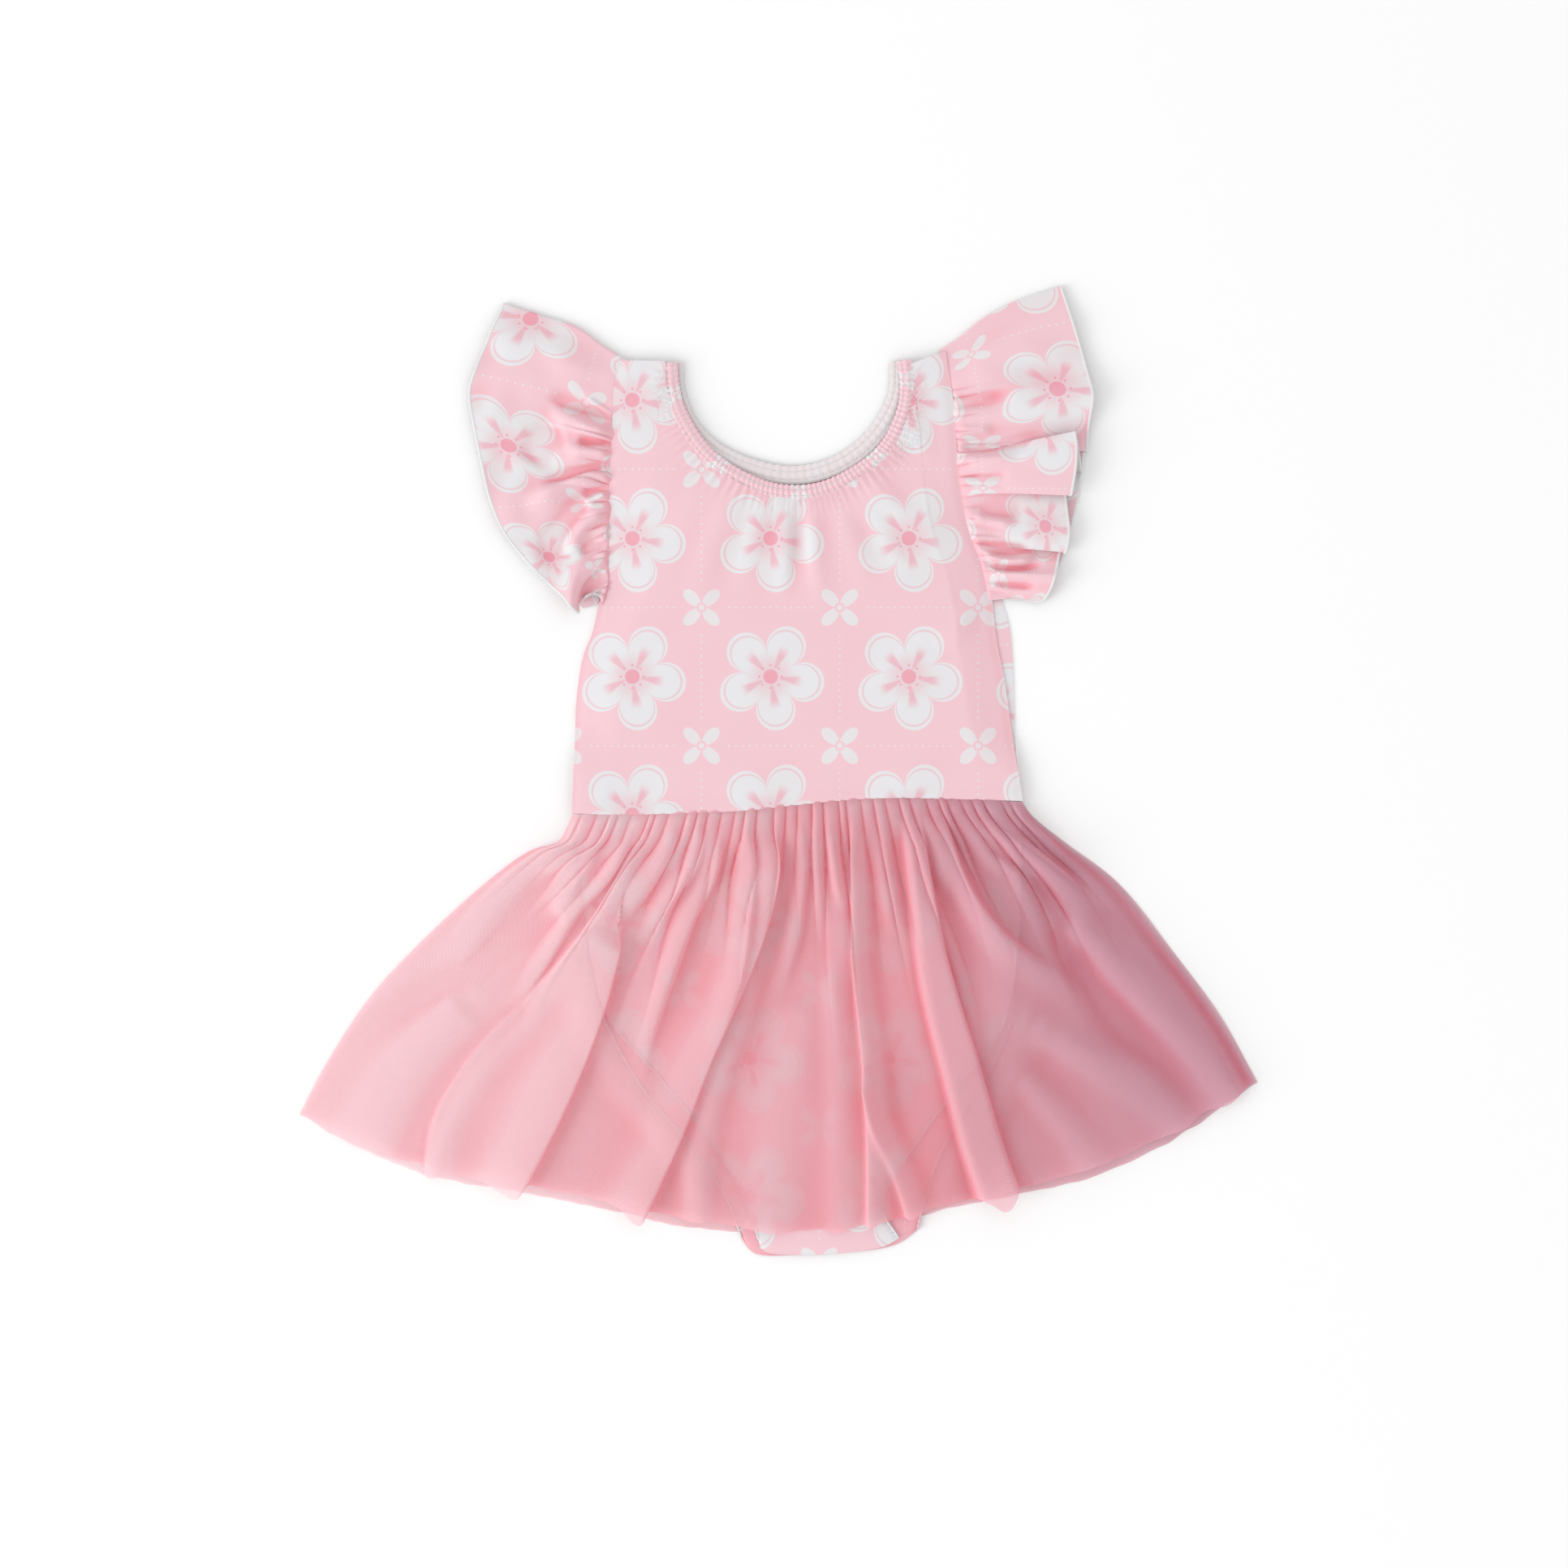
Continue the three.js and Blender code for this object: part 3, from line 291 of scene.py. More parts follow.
SLEEVE_LEFT_FOLDS = [
    Fold(2.2, 12, 12, [(-86, 197), (-104, 206), (-126, 216), (-150, 224)], drop=1),
    Fold(-2.6, 3, 5, [(-82, 173.7), (-91, 176.5), (-99, 178.6), (-107, 182), (-114, 187)]),
    Fold(1.8, 1.6, 1.6, [(-83, 176), (-90, 180), (-96, 183)]),
    Fold(3.4, 6, 5, [(-83, 166), (-93, 167.5), (-103, 172), (-116, 174)]),
    Fold(-2.4, 2.6, 2.4, [(-83, 161), (-92, 161.6), (-100, 163)]),
    Fold(-2.6, 9, 9, [(-104, 166), (-113, 163), (-120, 156), (-124, 150)]),
    Fold(2.6, 4, 4, [(-83, 156.5), (-94, 157), (-106, 156)]),
    Fold(-4.4, 2.6, 2.4, [(-82, 151.4), (-92, 148.6), (-99, 146.4), (-107, 143.8), (-119, 141)]),
    Fold(3.6, 4, 5, [(-84, 145), (-95, 142), (-105, 137.5), (-116, 133), (-128, 128)], lean=2.2),
    Fold(-2.6, 2, 2, [(-83, 140), (-90, 137.5), (-97, 134)]),
    Fold(2.6, 2.2, 2.2, [(-84, 136.6), (-91, 133.8), (-97, 130)]),
    Fold(-3.0, 5, 7, [(-92, 132), (-99, 127.6), (-106, 119), (-112, 110), (-119, 101)]),
    Fold(3.4, 4.5, 4.5, [(-84, 128), (-94, 122), (-101, 114), (-107, 105)]),
    Fold(-2.4, 2.4, 2.4, [(-84, 111), (-92, 109.6), (-99, 107)]),
]
SLEEVE_RIGHT_FOLDS = [
    Fold(1.8, 11, 11, [(90, 196), (110, 204), (134, 218), (154, 230)], drop=1),
    Fold(-2.0, 4, 6, [(86, 182), (100, 182), (118, 186)]),
    Fold(1.8, 10, 8, [(90, 176), (116, 177), (140, 182), (160, 186)], drop=1),
    Fold(2.0, 2.4, 2.4, [(88, 168), (97, 167.4), (106, 168)]),
    Fold(-3.6, 2.6, 4, [(89, 160.4), (98, 159), (108, 159.6), (119, 162), (132, 166.4)]),
    Fold(1.4, 3, 3, [(92, 151), (104, 152), (118, 154)]),
    Fold(-1.4, 3, 3, [(92, 144), (104, 143.6), (114, 144)]),
    Fold(-1.8, 4, 4, [(98, 129), (110, 128), (122, 128)]),
    Fold(2.2, 2.6, 2.6, [(95, 124), (106, 122.4), (118, 121)]),
    Fold(-2.4, 1.8, 1.8, [(97, 112.8), (106, 111.6), (118, 110), (126, 108)]),
    Fold(3.4, 2.4, 2.4, [(99, 108), (106, 104.4), (115, 103), (122, 104), (127, 107)]),
    Fold(-3.0, 1.8, 1.8, [(103, 101), (112, 99.4), (122, 99.6), (132, 101.6)]),
    Fold(2.6, 2.6, 2.6, [(106, 96.4), (116, 96), (128, 95), (142, 95)], drop=1),
    Fold(-2.2, 1.8, 1.8, [(108, 91.6), (117, 91), (128, 90.4)]),
]
BRIEF_FOLDS = [
    Fold(1.0, 7, 7, [(-84, -118), (-60, -112), (-30, -120)]),
    Fold(1.2, 6, 6, [(-70, -140), (-48, -128), (-20, -132)]),
    Fold(1.1, 8, 8, [(106, -126), (84, -116), (58, -122)]),
    Fold(1.3, 6, 6, [(92, -150), (72, -138), (48, -144)]),
    Fold(0.9, 9, 9, [(10, -90), (14, -140), (10, -196)]),
]

# The line along which the net stands highest at the right, away from the waist
SKIRT_PUFF = [(84, -40), (98, -90), (112, -140), (122, -190)]
PUFF_HEIGHT = 3.5
PUFF_LEFT = 75
PUFF_RIGHT = 26

# Gathers at a seam: how many, how high the lowest and the highest stand, and how far the shortest and the
# longest run
Gathers = namedtuple("Gathers", "count heights reaches")
SKIRT_GATHERS = Gathers(36, (2.2, 3.4), (60, 150))
SLEEVE_GATHERS = Gathers(26, (0.9, 2.6), (14, 34))
SKIRT_BACK_GATHERS = 30
# The neck's gathers run on below its casing
NECK_GATHER_HEIGHT = 0.34
NECK_GATHER_REACH = 7.5

SKIRT_CUT = 560
NET_PITCH = 0.8
NET_COVER = 0.62
NET_DENSER_FOR_SHADE_AT_RIGHT = 0.2
# How much cloth a sleeve has from seam to hem, and along the hem of its back layer
SLEEVE_CUT = 62
SLEEVE_BACK_RUN = 170
# The legs' gathers, and the share of each brief's side that they take, from the crotch up
LEG_GATHERS = 84
LEG_EDGE_PITCH = 2.3
LEG_SHARE = 0.56

# Colours, as linear light
PINK = (0.76, 0.498, 0.546, 1)
PINK_INSIDE = (0.70, 0.63, 0.645, 1)
WHITE = (0.67, 0.66, 0.675, 1)
ROSE = (0.72, 0.30, 0.37, 1)
NET_PALE = (1.0, 0.72, 0.76, 1)
# The next two colours darken the net towards the right, away from the window: painted shade
NET_HALF_SHADE = (0.87, 0.475, 0.52, 1)
NET_SHADE = (0.62, 0.335, 0.415, 1)
NET_HOLE = (0.84, 0.38, 0.46, 1)
NET_GLOW = (0.98, 0.60, 0.67, 1)
NET_GLOW_SHARE = 0.18
# The way that the window's light runs over the floor
LIGHT_RUN = (0.945, 0.326)
# Painted shade: the colour multiplied into the cloth where shade falls, in hollows between folds, on flanks
# facing away from the window and on layers under others. It stands for light that passes from cloth to cloth.
PAINTED_SHADE_TINT = (1.0, 0.54, 0.58, 1)
THREAD_WHITE = (0.70, 0.69, 0.70, 1)
FLOOR_WHITE = (0.835, 0.835, 0.835, 1)

# The floor and the light, in metres and watts: one big soft window at the left, and an even white room
FLOOR_REACH = 6.0
WINDOW_PLACE = (-4.35, -1.5, 2.15)
WINDOW_SIZE = 3.4
WINDOW_POWER = 137
ROOM_WHITE = (1.0, 1.0, 1.0, 1)
ROOM_STRENGTH = 1.0


def ease(low, high, x):
    t = np.clip((x - low) / (high - low), 0, 1)
    return t * t * (3 - 2 * t)


def mix(a, b, t):
    return a + (b - a) * t


def spaced(count):
    return np.linspace(0, 1, count + 1)


def bell(x, width):
    return np.exp(-((x / width) ** 2))


def from_sides(across, width):
    """How far a place lies from the nearer side of a panel this wide."""
    return np.minimum(across, 1 - across) * width


def off_sides(across, margin):
    """0 at both sides of a panel, easing to 1 over this share of its width."""
    return ease(0, margin, across) * ease(0, margin, 1 - across)


def smooth(points, count):
    """Points on a smooth curve through the given ones, spaced by the square roots of their distances."""
    given = np.array(points, float)
    p = np.vstack([2 * given[0] - given[1], given, 2 * given[-1] - given[-2]])
    where = np.linspace(0, len(given) - 1, count + 1)
    i = np.minimum(where.astype(int), len(given) - 2)
    w = (where - i)[:, None]
    p0, p1, p2, p3 = p[i], p[i + 1], p[i + 2], p[i + 3]
    d0, d1, d2 = (np.sqrt(np.linalg.norm(b - a, axis=1))[:, None] for a, b in ((p0, p1), (p1, p2), (p2, p3)))
    start = ((p1 - p0) / d0 - (p2 - p0) / (d0 + d1) + (p2 - p1) / d1) * d1
    end = ((p2 - p1) / d1 - (p3 - p1) / (d1 + d2) + (p3 - p2) / d2) * d1
    return p1 + start * w + (3 * (p2 - p1) - 2 * start - end) * w**2 + (2 * (p1 - p2) + start + end) * w**3


class Line:
    """A line through one or more runs of points, smooth in each run, with a corner where two runs meet."""

    def __init__(self, *runs, rounded=True):
        parts = [smooth(run, len(run) * 8) if rounded else np.array(run) for run in runs]
        self.points = np.vstack([parts[0]] + [part[1:] for part in parts[1:]])
        steps = np.linalg.norm(np.diff(self.points, axis=0), axis=1)
        self.along = np.concatenate([[0], np.cumsum(steps)])

    @property
    def length(self):
        return self.along[-1]

    def at(self, u):
        want = np.clip(u, 0, 1) * self.length
        return np.stack([np.interp(want, self.along, self.points[:, k]) for k in (0, 1)], -1)

    def beside(self, away):
        """The same line moved sideways, to the left of its travel when away is positive."""
        u = spaced(240)
        run = self.at(u + 0.004) - self.at(u - 0.004)
        run /= np.linalg.norm(run, axis=1)[:, None]
        return Line(self.at(u) + away * np.stack([-run[:, 1], run[:, 0]], -1), rounded=False)

    def back(self):
        return Line(self.points[::-1], rounded=False)


def patch(bottom, top, left, right, u, v, hold=1):
    """The points of a surface between four edges: u runs across, and v from the bottom edge to the top.
    The higher hold is, the nearer to the side edges their bends stay."""
    across, up = u[None, :, None], v[:, None, None]
    straight = mix(bottom.at(u)[None], top.at(u)[None], up)
    from_left = left.at(v)[:, None] - straight[:, :1]
    from_right = right.at(v)[:, None] - straight[:, -1:]
    return straight + from_left * (1 - across) ** hold + from_right * across ** hold


def beside_line(points, xy):
    """How far points lie from a line, on which side (right is positive), how far along it, and its direction
    there."""
    distance = np.full(len(xy), np.inf)
    side = np.zeros(len(xy))
    along = np.zeros(len(xy))
    way = np.zeros((len(xy), 2))
    for i in range(len(points) - 1):
        d = points[i + 1] - points[i]
        r = xy - points[i]
        t = np.clip(r @ d / (d @ d), 0, 1)
        across = np.hypot(r[:, 0] - t * d[0], r[:, 1] - t * d[1])
        nearer = across < distance
        unit = d / np.linalg.norm(d)
        turned = r[:, 0] * unit[1] - r[:, 1] * unit[0]
        distance = np.where(nearer, across, distance)
        side = np.where(nearer, np.sign(turned) * across, side)
        along = np.where(nearer, (i + t) / (len(points) - 1), along)
        way[nearer] = unit
    return distance, side, along, way


def raise_folds(folds, grid, share, start=0.16, end=0.4, root=1.0, tip=1.0):
    """Adds folds to a grid of points. share, of the grid's size, is how much of each fold a point takes.
    root and tip scale a fold's width at its two ends."""
    flat = grid.reshape(-1, 3)
    base = flat[:, :2].copy()
    share = np.broadcast_to(share, grid.shape[:2]).reshape(-1)
    for fold in folds:
        crest = smooth(fold.crest, 6 * len(fold.crest))
        reach = 3.2 * max(fold.left, fold.right) * max(root, tip)
        near = ((base > crest.min(0) - reach) & (base < crest.max(0) + reach)).all(1)
        distance, side, along, way = beside_line(crest, base[near])
        wide = np.where(side > 0, fold.right, fold.left) * mix(root, tip, along)
        ends = mix(0.35, 1, ease(0, start, along))
        if fold.drop == 0:
            ends = ends * (1 - ease(1 - end, 1, along))
        high = np.exp(-((distance / wide) ** (2.2 + fold.spread))) * ends * share[near]
        q = side / wide
        opened = ends * share[near] * ease(0.1, 0.7, along)
        aside = fold.lean * high + fold.spread * 1.6 * q * np.exp(-q * q) * opened
        flat[near, 2] += fold.height * high
        flat[near, 0] += way[:, 1] * aside
        flat[near, 1] -= way[:, 0] * aside
        if fold.drop:
            hem = bell(distance, 0.6 * wide) * ease(0.8, 1, along) * share[near]
            flat[near, :2] += way * (fold.drop * hem)[:, None]
    return flat.reshape(grid.shape)


def ripple(xy, seed, size, count=9):
    """Soft random undulation from -1 to 1, of about the given size in millimetres."""
    chance = np.random.default_rng(seed)
    total = np.zeros(xy.shape[:-1])
    for _ in range(count):
        angle, phase = chance.uniform(0, TURN, 2)
        pitch = size * chance.uniform(0.6, 1.7)
        total += np.sin(TURN * (xy[..., 0] * math.cos(angle) + xy[..., 1] * math.sin(angle)) / pitch + phase)
    return total / math.sqrt(count)


def soft_floor(x, blend=0.8):
    """x where it is well above 0, easing to 0 below, so that a trough never cuts through what it lies on."""
    return blend * np.logaddexp(0, x / blend * 2) / 2


def lifted(xy, z):
    return np.concatenate([xy, np.broadcast_to(z, xy.shape[:-1])[..., None]], -1)


def facing_away(grid):
    """How far the cloth at each point of a grid faces away from the window, from 0 to 1."""
    normal = np.cross(np.gradient(grid, axis=1), np.gradient(grid, axis=0))
    normal /= np.linalg.norm(normal, axis=2)[..., None] * np.sign(normal[..., 2].mean())
    return np.clip(normal[..., 0] * LIGHT_RUN[0] + normal[..., 1] * LIGHT_RUN[1], 0, 1)


def blurred(z, across, down):
    """A grid of heights averaged over this many columns and rows to each side."""
    for axis, reach in ((1, across), (0, down)):
        last = z.shape[axis] - 1
        shifted = [np.clip(np.arange(last + 1) + k, 0, last) for k in range(-reach, reach + 1)]
        z = sum(np.take(z, places, axis) for places in shifted) / len(shifted)
    return z


def hollows(z, across, down, depth, level=0.0):
    """How far each point of a grid of heights lies below the ground around it, from 0 to 1: level where it is
    even with it, and 1 at this depth."""
    return np.clip(level + (blurred(blurred(z, across, down), across, down) - z) / depth, 0, 1)


def make_mesh(name, points, faces, uv, material, painted_shade=0.0):
    """An object from points in millimetres, with cloth coordinates in millimetres as its UV map."""
    mesh = bpy.data.meshes.new(name)
    mesh.from_pydata((np.asarray(points) * MM).tolist(), [], faces)
    layer = mesh.uv_layers.new(name="cloth")
    corner = np.zeros(len(mesh.loops), int)
    mesh.loops.foreach_get("vertex_index", corner)
    layer.uv.foreach_set("vector", (np.asarray(uv) * MM)[corner].astype(np.float32).ravel())
    # Each point carries how much shade its material paints in
    depth = mesh.attributes.new("painted_shade", "FLOAT", "POINT")
    depth.data.foreach_set("value", np.broadcast_to(painted_shade, len(points)).astype(np.float32))
    mesh.shade_smooth()
    mesh.set_sharp_from_angle(angle=math.radians(60))
    mesh.materials.append(material)
    piece = bpy.data.objects.new(name, mesh)
    bpy.context.collection.objects.link(piece)
    return piece


def grid_faces(rows, columns, closed=False):
    r, c = np.meshgrid(np.arange(rows - 1), np.arange(columns if closed else columns - 1), indexing="ij")
    a = (r * columns + c).ravel()
    b = (r * columns + (c + 1) % columns).ravel()
    return np.stack([a, b, b + columns, a + columns], -1)


def cloth(name, grid, uv, material, thickness=KNIT, turned=False, painted_shade=None):
    """A sheet of cloth from a grid of its upper points: a single layer, or a wall with closed edges."""
    if painted_shade is None:
        painted_shade = np.zeros(grid.shape[:2])
    if turned:
        grid, uv, painted_shade = grid[:, ::-1], uv[:, ::-1], painted_shade[:, ::-1]
    rows, columns = grid.shape[:2]
    upper = grid.reshape(-1, 3)
    faces = grid_faces(rows, columns)
    if not thickness:
        return make_mesh(name, upper, faces.tolist(), uv.reshape(-1, 2), material, painted_shade.ravel())
    normal = np.cross(np.gradient(grid, axis=1), np.gradient(grid, axis=0))
    normal /= np.linalg.norm(normal, axis=2)[..., None]
    lower = (grid - normal * thickness).reshape(-1, 3)
    count = rows * columns
    place = np.arange(count).reshape(rows, columns)
    border = np.concatenate([place[0], place[1:, -1], place[-1, -2::-1], place[-2:0:-1, 0]])
    after = np.roll(border, -1)
    rim = np.stack([after, border, border + count, after + count], -1)
    every = faces.tolist() + (faces[:, ::-1] + count).tolist() + rim.tolist()
    points = np.concatenate([upper, lower])
    both = np.tile(uv.reshape(-1, 2), (2, 1))
    return make_mesh(name, points, every, both, material, np.tile(painted_shade.ravel(), 2))


def tube(name, path, radius, material, sides=8, flat=1.0):
    """A tube with closed ends along a path of points. radius is one number, or one for each point, and flat
    is the tube's height as a share of its width."""
    path = np.asarray(path, float)
    run = np.gradient(path, axis=0)
    run /= np.linalg.norm(run, axis=1)[:, None]
    across = np.cross(run, (0, 0, 1))
    across /= np.linalg.norm(across, axis=1)[:, None]
    up = np.cross(across, run)
    angle = np.arange(sides) * TURN / sides
    radius = np.broadcast_to(radius, len(path))[:, None, None]
    ring = across[:, None] * np.cos(angle)[None, :, None] + flat * up[:, None] * np.sin(angle)[None, :, None]
    points = (path[:, None] + ring * radius).reshape(-1, 3)
    faces = grid_faces(len(path), sides, closed=True)[:, ::-1].tolist()
    faces.append(list(range(sides)))
    faces.append([len(points) - 1 - k for k in range(sides)])
    along = np.concatenate([[0], np.cumsum(np.linalg.norm(np.diff(path, axis=0), axis=1))])
    uv = np.stack([np.repeat(along, sides), np.tile(angle * 0.7, len(path))], -1)
    return make_mesh(name, points, faces, uv, material)


class Wire:
    """A shader value that is worked with like a number."""

    def __init__(self, tree, socket):
        self.tree = tree
        self.socket = socket

    def op(self, operation, *others):
        node = self.tree.nodes.new("ShaderNodeMath")
        node.operation = operation
        for slot, value in zip(node.inputs, (self, *others)):
            if isinstance(value, Wire):
                self.tree.links.new(value.socket, slot)
            else:
                slot.default_value = value
        return Wire(self.tree, node.outputs[0])

    __add__ = partialmethod(op, "ADD")
    __sub__ = partialmethod(op, "SUBTRACT")
    __mul__ = partialmethod(op, "MULTIPLY")
    __truediv__ = partialmethod(op, "DIVIDE")
    __pow__ = partialmethod(op, "POWER")
    abs = partialmethod(op, "ABSOLUTE")
    either = partialmethod(op, "MAXIMUM")

    def wrap(self, low, high):
        return self.op("WRAP", high, low)

    def under(self, other):
        """How far this value is below another one."""
        return (self * -1) + other

    def step(self, low, high):
        """From 0 at low to 1 at high."""
        node = self.tree.nodes.new("ShaderNodeMapRange")
        node.interpolation_type = "SMOOTHSTEP"
        self.tree.links.new(self.socket, node.inputs["Value"])
        node.inputs["From Min"].default_value = low
        node.inputs["From Max"].default_value = high
        return Wire(self.tree, node.outputs[0])


class Shader:
    """A new material with its Principled shader and short calls for the nodes that feed it."""

    def __init__(self, name, roughness, sheen=0.0, sheen_roughness=0.5):
        self.material = bpy.data.materials.new(name)
        self.material.use_nodes = True
        self.tree = self.material.node_tree
        self.surface = self.tree.nodes["Principled BSDF"]
        self.surface.inputs["Roughness"].default_value = roughness
        self.surface.inputs["Sheen Weight"].default_value = sheen
        self.surface.inputs["Sheen Roughness"].default_value = sheen_roughness

    def painted_shade(self):
        """How much shade is painted at a place, from 0 to 1: in the hollows between the folds around it, on
        flanks that face away from the window, and on layers under others.
        """
        source = self.tree.nodes.new("ShaderNodeAttribute")
        source.attribute_name = "painted_shade"
        return Wire(self.tree, source.outputs["Fac"])

    def cloth_xy(self):
        """The two cloth coordinates, in millimetres."""
        source = self.tree.nodes.new("ShaderNodeUVMap")
        source.uv_map = "cloth"
        split = self.tree.nodes.new("ShaderNodeSeparateXYZ")
        self.tree.links.new(source.outputs[0], split.inputs[0])
        return [Wire(self.tree, split.outputs[k]) * 1000 for k in (0, 1)]

    def noise(self, x, y, size, detail=2):
        join = self.tree.nodes.new("ShaderNodeCombineXYZ")
        self.tree.links.new((x / size).socket, join.inputs[0])
        self.tree.links.new((y / size).socket, join.inputs[1])
        node = self.tree.nodes.new("ShaderNodeTexNoise")
        node.inputs["Scale"].default_value = 1
        node.inputs["Detail"].default_value = detail
        self.tree.links.new(join.outputs[0], node.inputs["Vector"])
        return Wire(self.tree, node.outputs["Fac"])

    def blend(self, share, below, above, way="MIX"):
        """One colour over another."""
        node = self.tree.nodes.new("ShaderNodeMix")
        node.data_type = "RGBA"
        node.blend_type = way
        self.tree.links.new(share.socket, node.inputs["Factor"])
        for slot, colour in (("A", below), ("B", above)):
            place = next(s for s in node.inputs if s.name == slot and s.type == "RGBA")
            if isinstance(colour, tuple):
                place.default_value = colour
            else:
                self.tree.links.new(colour, place)
        return next(s for s in node.outputs if s.type == "RGBA")

    def paint(self, colour):
        self.tree.links.new(colour, self.surface.inputs["Base Color"])

    def let_light_through(self, cover, glow, share):
        """Turns the surface into threads that cover part of it, and that pass on some light from behind."""
        nodes, links = self.tree.nodes, self.tree.links
        back = nodes.new("ShaderNodeBsdfTranslucent")
        back.inputs["Color"].default_value = glow
        threads, whole = nodes.new("ShaderNodeMixShader"), nodes.new("ShaderNodeMixShader")
        threads.inputs[0].default_value = share
        links.new(self.surface.outputs[0], threads.inputs[1])
        links.new(back.outputs[0], threads.inputs[2])
        links.new(cover.socket, whole.inputs[0])
        links.new(nodes.new("ShaderNodeBsdfTransparent").outputs[0], whole.inputs[1])
        links.new(threads.outputs[0], whole.inputs[2])
        links.new(whole.outputs[0], nodes["Material Output"].inputs["Surface"])

    def bump(self, height, strength, distance):
        node = self.tree.nodes.new("ShaderNodeBump")
        node.inputs["Strength"].default_value = strength
        node.inputs["Distance"].default_value = distance * MM
        self.tree.links.new(height.socket, node.inputs["Height"])
        self.tree.links.new(node.outputs[0], self.surface.inputs["Normal"])


# The print: big five-petalled blossoms in a square grid, with sprigs and dotted lines between them
PRINT_PITCH = 68
PETALS = 5
PETAL_TURN = 0.4
PETAL_REACH = 27
PETAL_NOTCH = 13
OUTLINE_INSET = 2.6
VEIN_REACH = 17
BLUSH_REACH = 14
HEART_RADIUS = 4.0
SEED_COUNT = 8
SEED_RING = 5.6
SEED_RADIUS = 0.75
SPRIG_REACH = 10.5
BUD_RADIUS = 1.6
DOT_PITCH = 3.4
DOT_RADIUS = 0.62


def blossoms(shader, x, y):
    """How white and how rose the print is at a place on the cloth."""
    half = PRINT_PITCH / 2
    cx, cy = x.wrap(-half, half), y.wrap(-half, half)
    radius = (cx * cx + cy * cy).op("SQRT")
    angle = cy.op("ARCTAN2", cx)
    petal = (angle * (PETALS / 2) + PETAL_TURN).op("COSINE").abs()
    edge = petal ** 0.55 * (PETAL_REACH - PETAL_NOTCH) + PETAL_NOTCH
    inside = (edge - radius).step(0, 0.7)
    outline = ((edge - radius) - OUTLINE_INSET).abs().step(0.75, 0.3)
    vein = (petal ** 6).step(0.25, 0.9) * radius.under(VEIN_REACH).step(0, 6) * radius.step(3.2, 5)
    blush = radius.under(BLUSH_REACH).step(0, 9) * 0.35
    heart = radius.under(HEART_RADIUS).step(0, 0.6)
    half_step = TURN / SEED_COUNT / 2
    seed_turn = angle.wrap(-half_step, half_step) * SEED_RING
    seed_away = ((radius - SEED_RING) ** 2 + seed_turn ** 2).op("SQRT")
    seeds = seed_away.under(SEED_RADIUS).step(0, 0.3)
    rose = (outline * 0.45).either(vein * 0.7).either(blush).either(heart)
    rose = rose.either(seeds) * inside

    sx, sy = (x + half).wrap(-half, half), (y + half).wrap(-half, half)
    sprig_radius = (sx * sx + sy * sy).op("SQRT")
    sprig_angle = sy.op("ARCTAN2", sx)
    leaf = (sprig_angle * 2).op("SINE").abs() ** 1.4 * SPRIG_REACH + BUD_RADIUS
    sprig = (leaf - sprig_radius).step(0, 0.5) * sprig_radius.step(2.2, 2.8)
    bud = sprig_radius.under(BUD_RADIUS).step(0, 0.4)

    def dots(across, along):
        beside = across.abs()
        step = along.wrap(-DOT_PITCH / 2, DOT_PITCH / 2)
        away = (beside * beside + step * step).op("SQRT")
        return away.under(DOT_RADIUS).step(0, 0.25)

    lines = dots(sx, y).either(dots(sy, x)) * sprig_radius.step(12, 12.5)
    white = inside.either(sprig * 0.9).either(bud * 0.9).either(lines * 0.85)
    return white, rose


def knit(name, strength=1.0, ground=PINK):
    """Smooth stretch knit with the print. strength is lower on its wrong side."""
    shader = Shader(name, roughness=0.62, sheen=0.1)
    shader.surface.inputs["Specular IOR Level"].default_value = 0.3
    x, y = shader.cloth_xy()
    white, rose = blossoms(shader, x, y)
    cloudy = shader.noise(x, y, 38)
    paler = tuple(c * 0.97 for c in ground[:3]) + (1,)
    colour = shader.blend(cloudy, paler, ground)
    colour = shader.blend(white * strength, colour, WHITE)
    colour = shader.blend(rose * (0.9 * strength), colour, ROSE)
    # Painted shade: the colour is multiplied by the shade tint as far as each point says
    shader.paint(shader.blend(shader.painted_shade(), colour, PAINTED_SHADE_TINT, "MULTIPLY"))
    wale = (x * (TURN / 0.55)).op("SINE")
    course = (y * (TURN / 0.5)).op("SINE")
    fuzz = shader.noise(x, y, 0.7)
    shader.bump(wale * 0.3 + course * 0.2 + fuzz, 0.1, 0.08)
    return shader.material


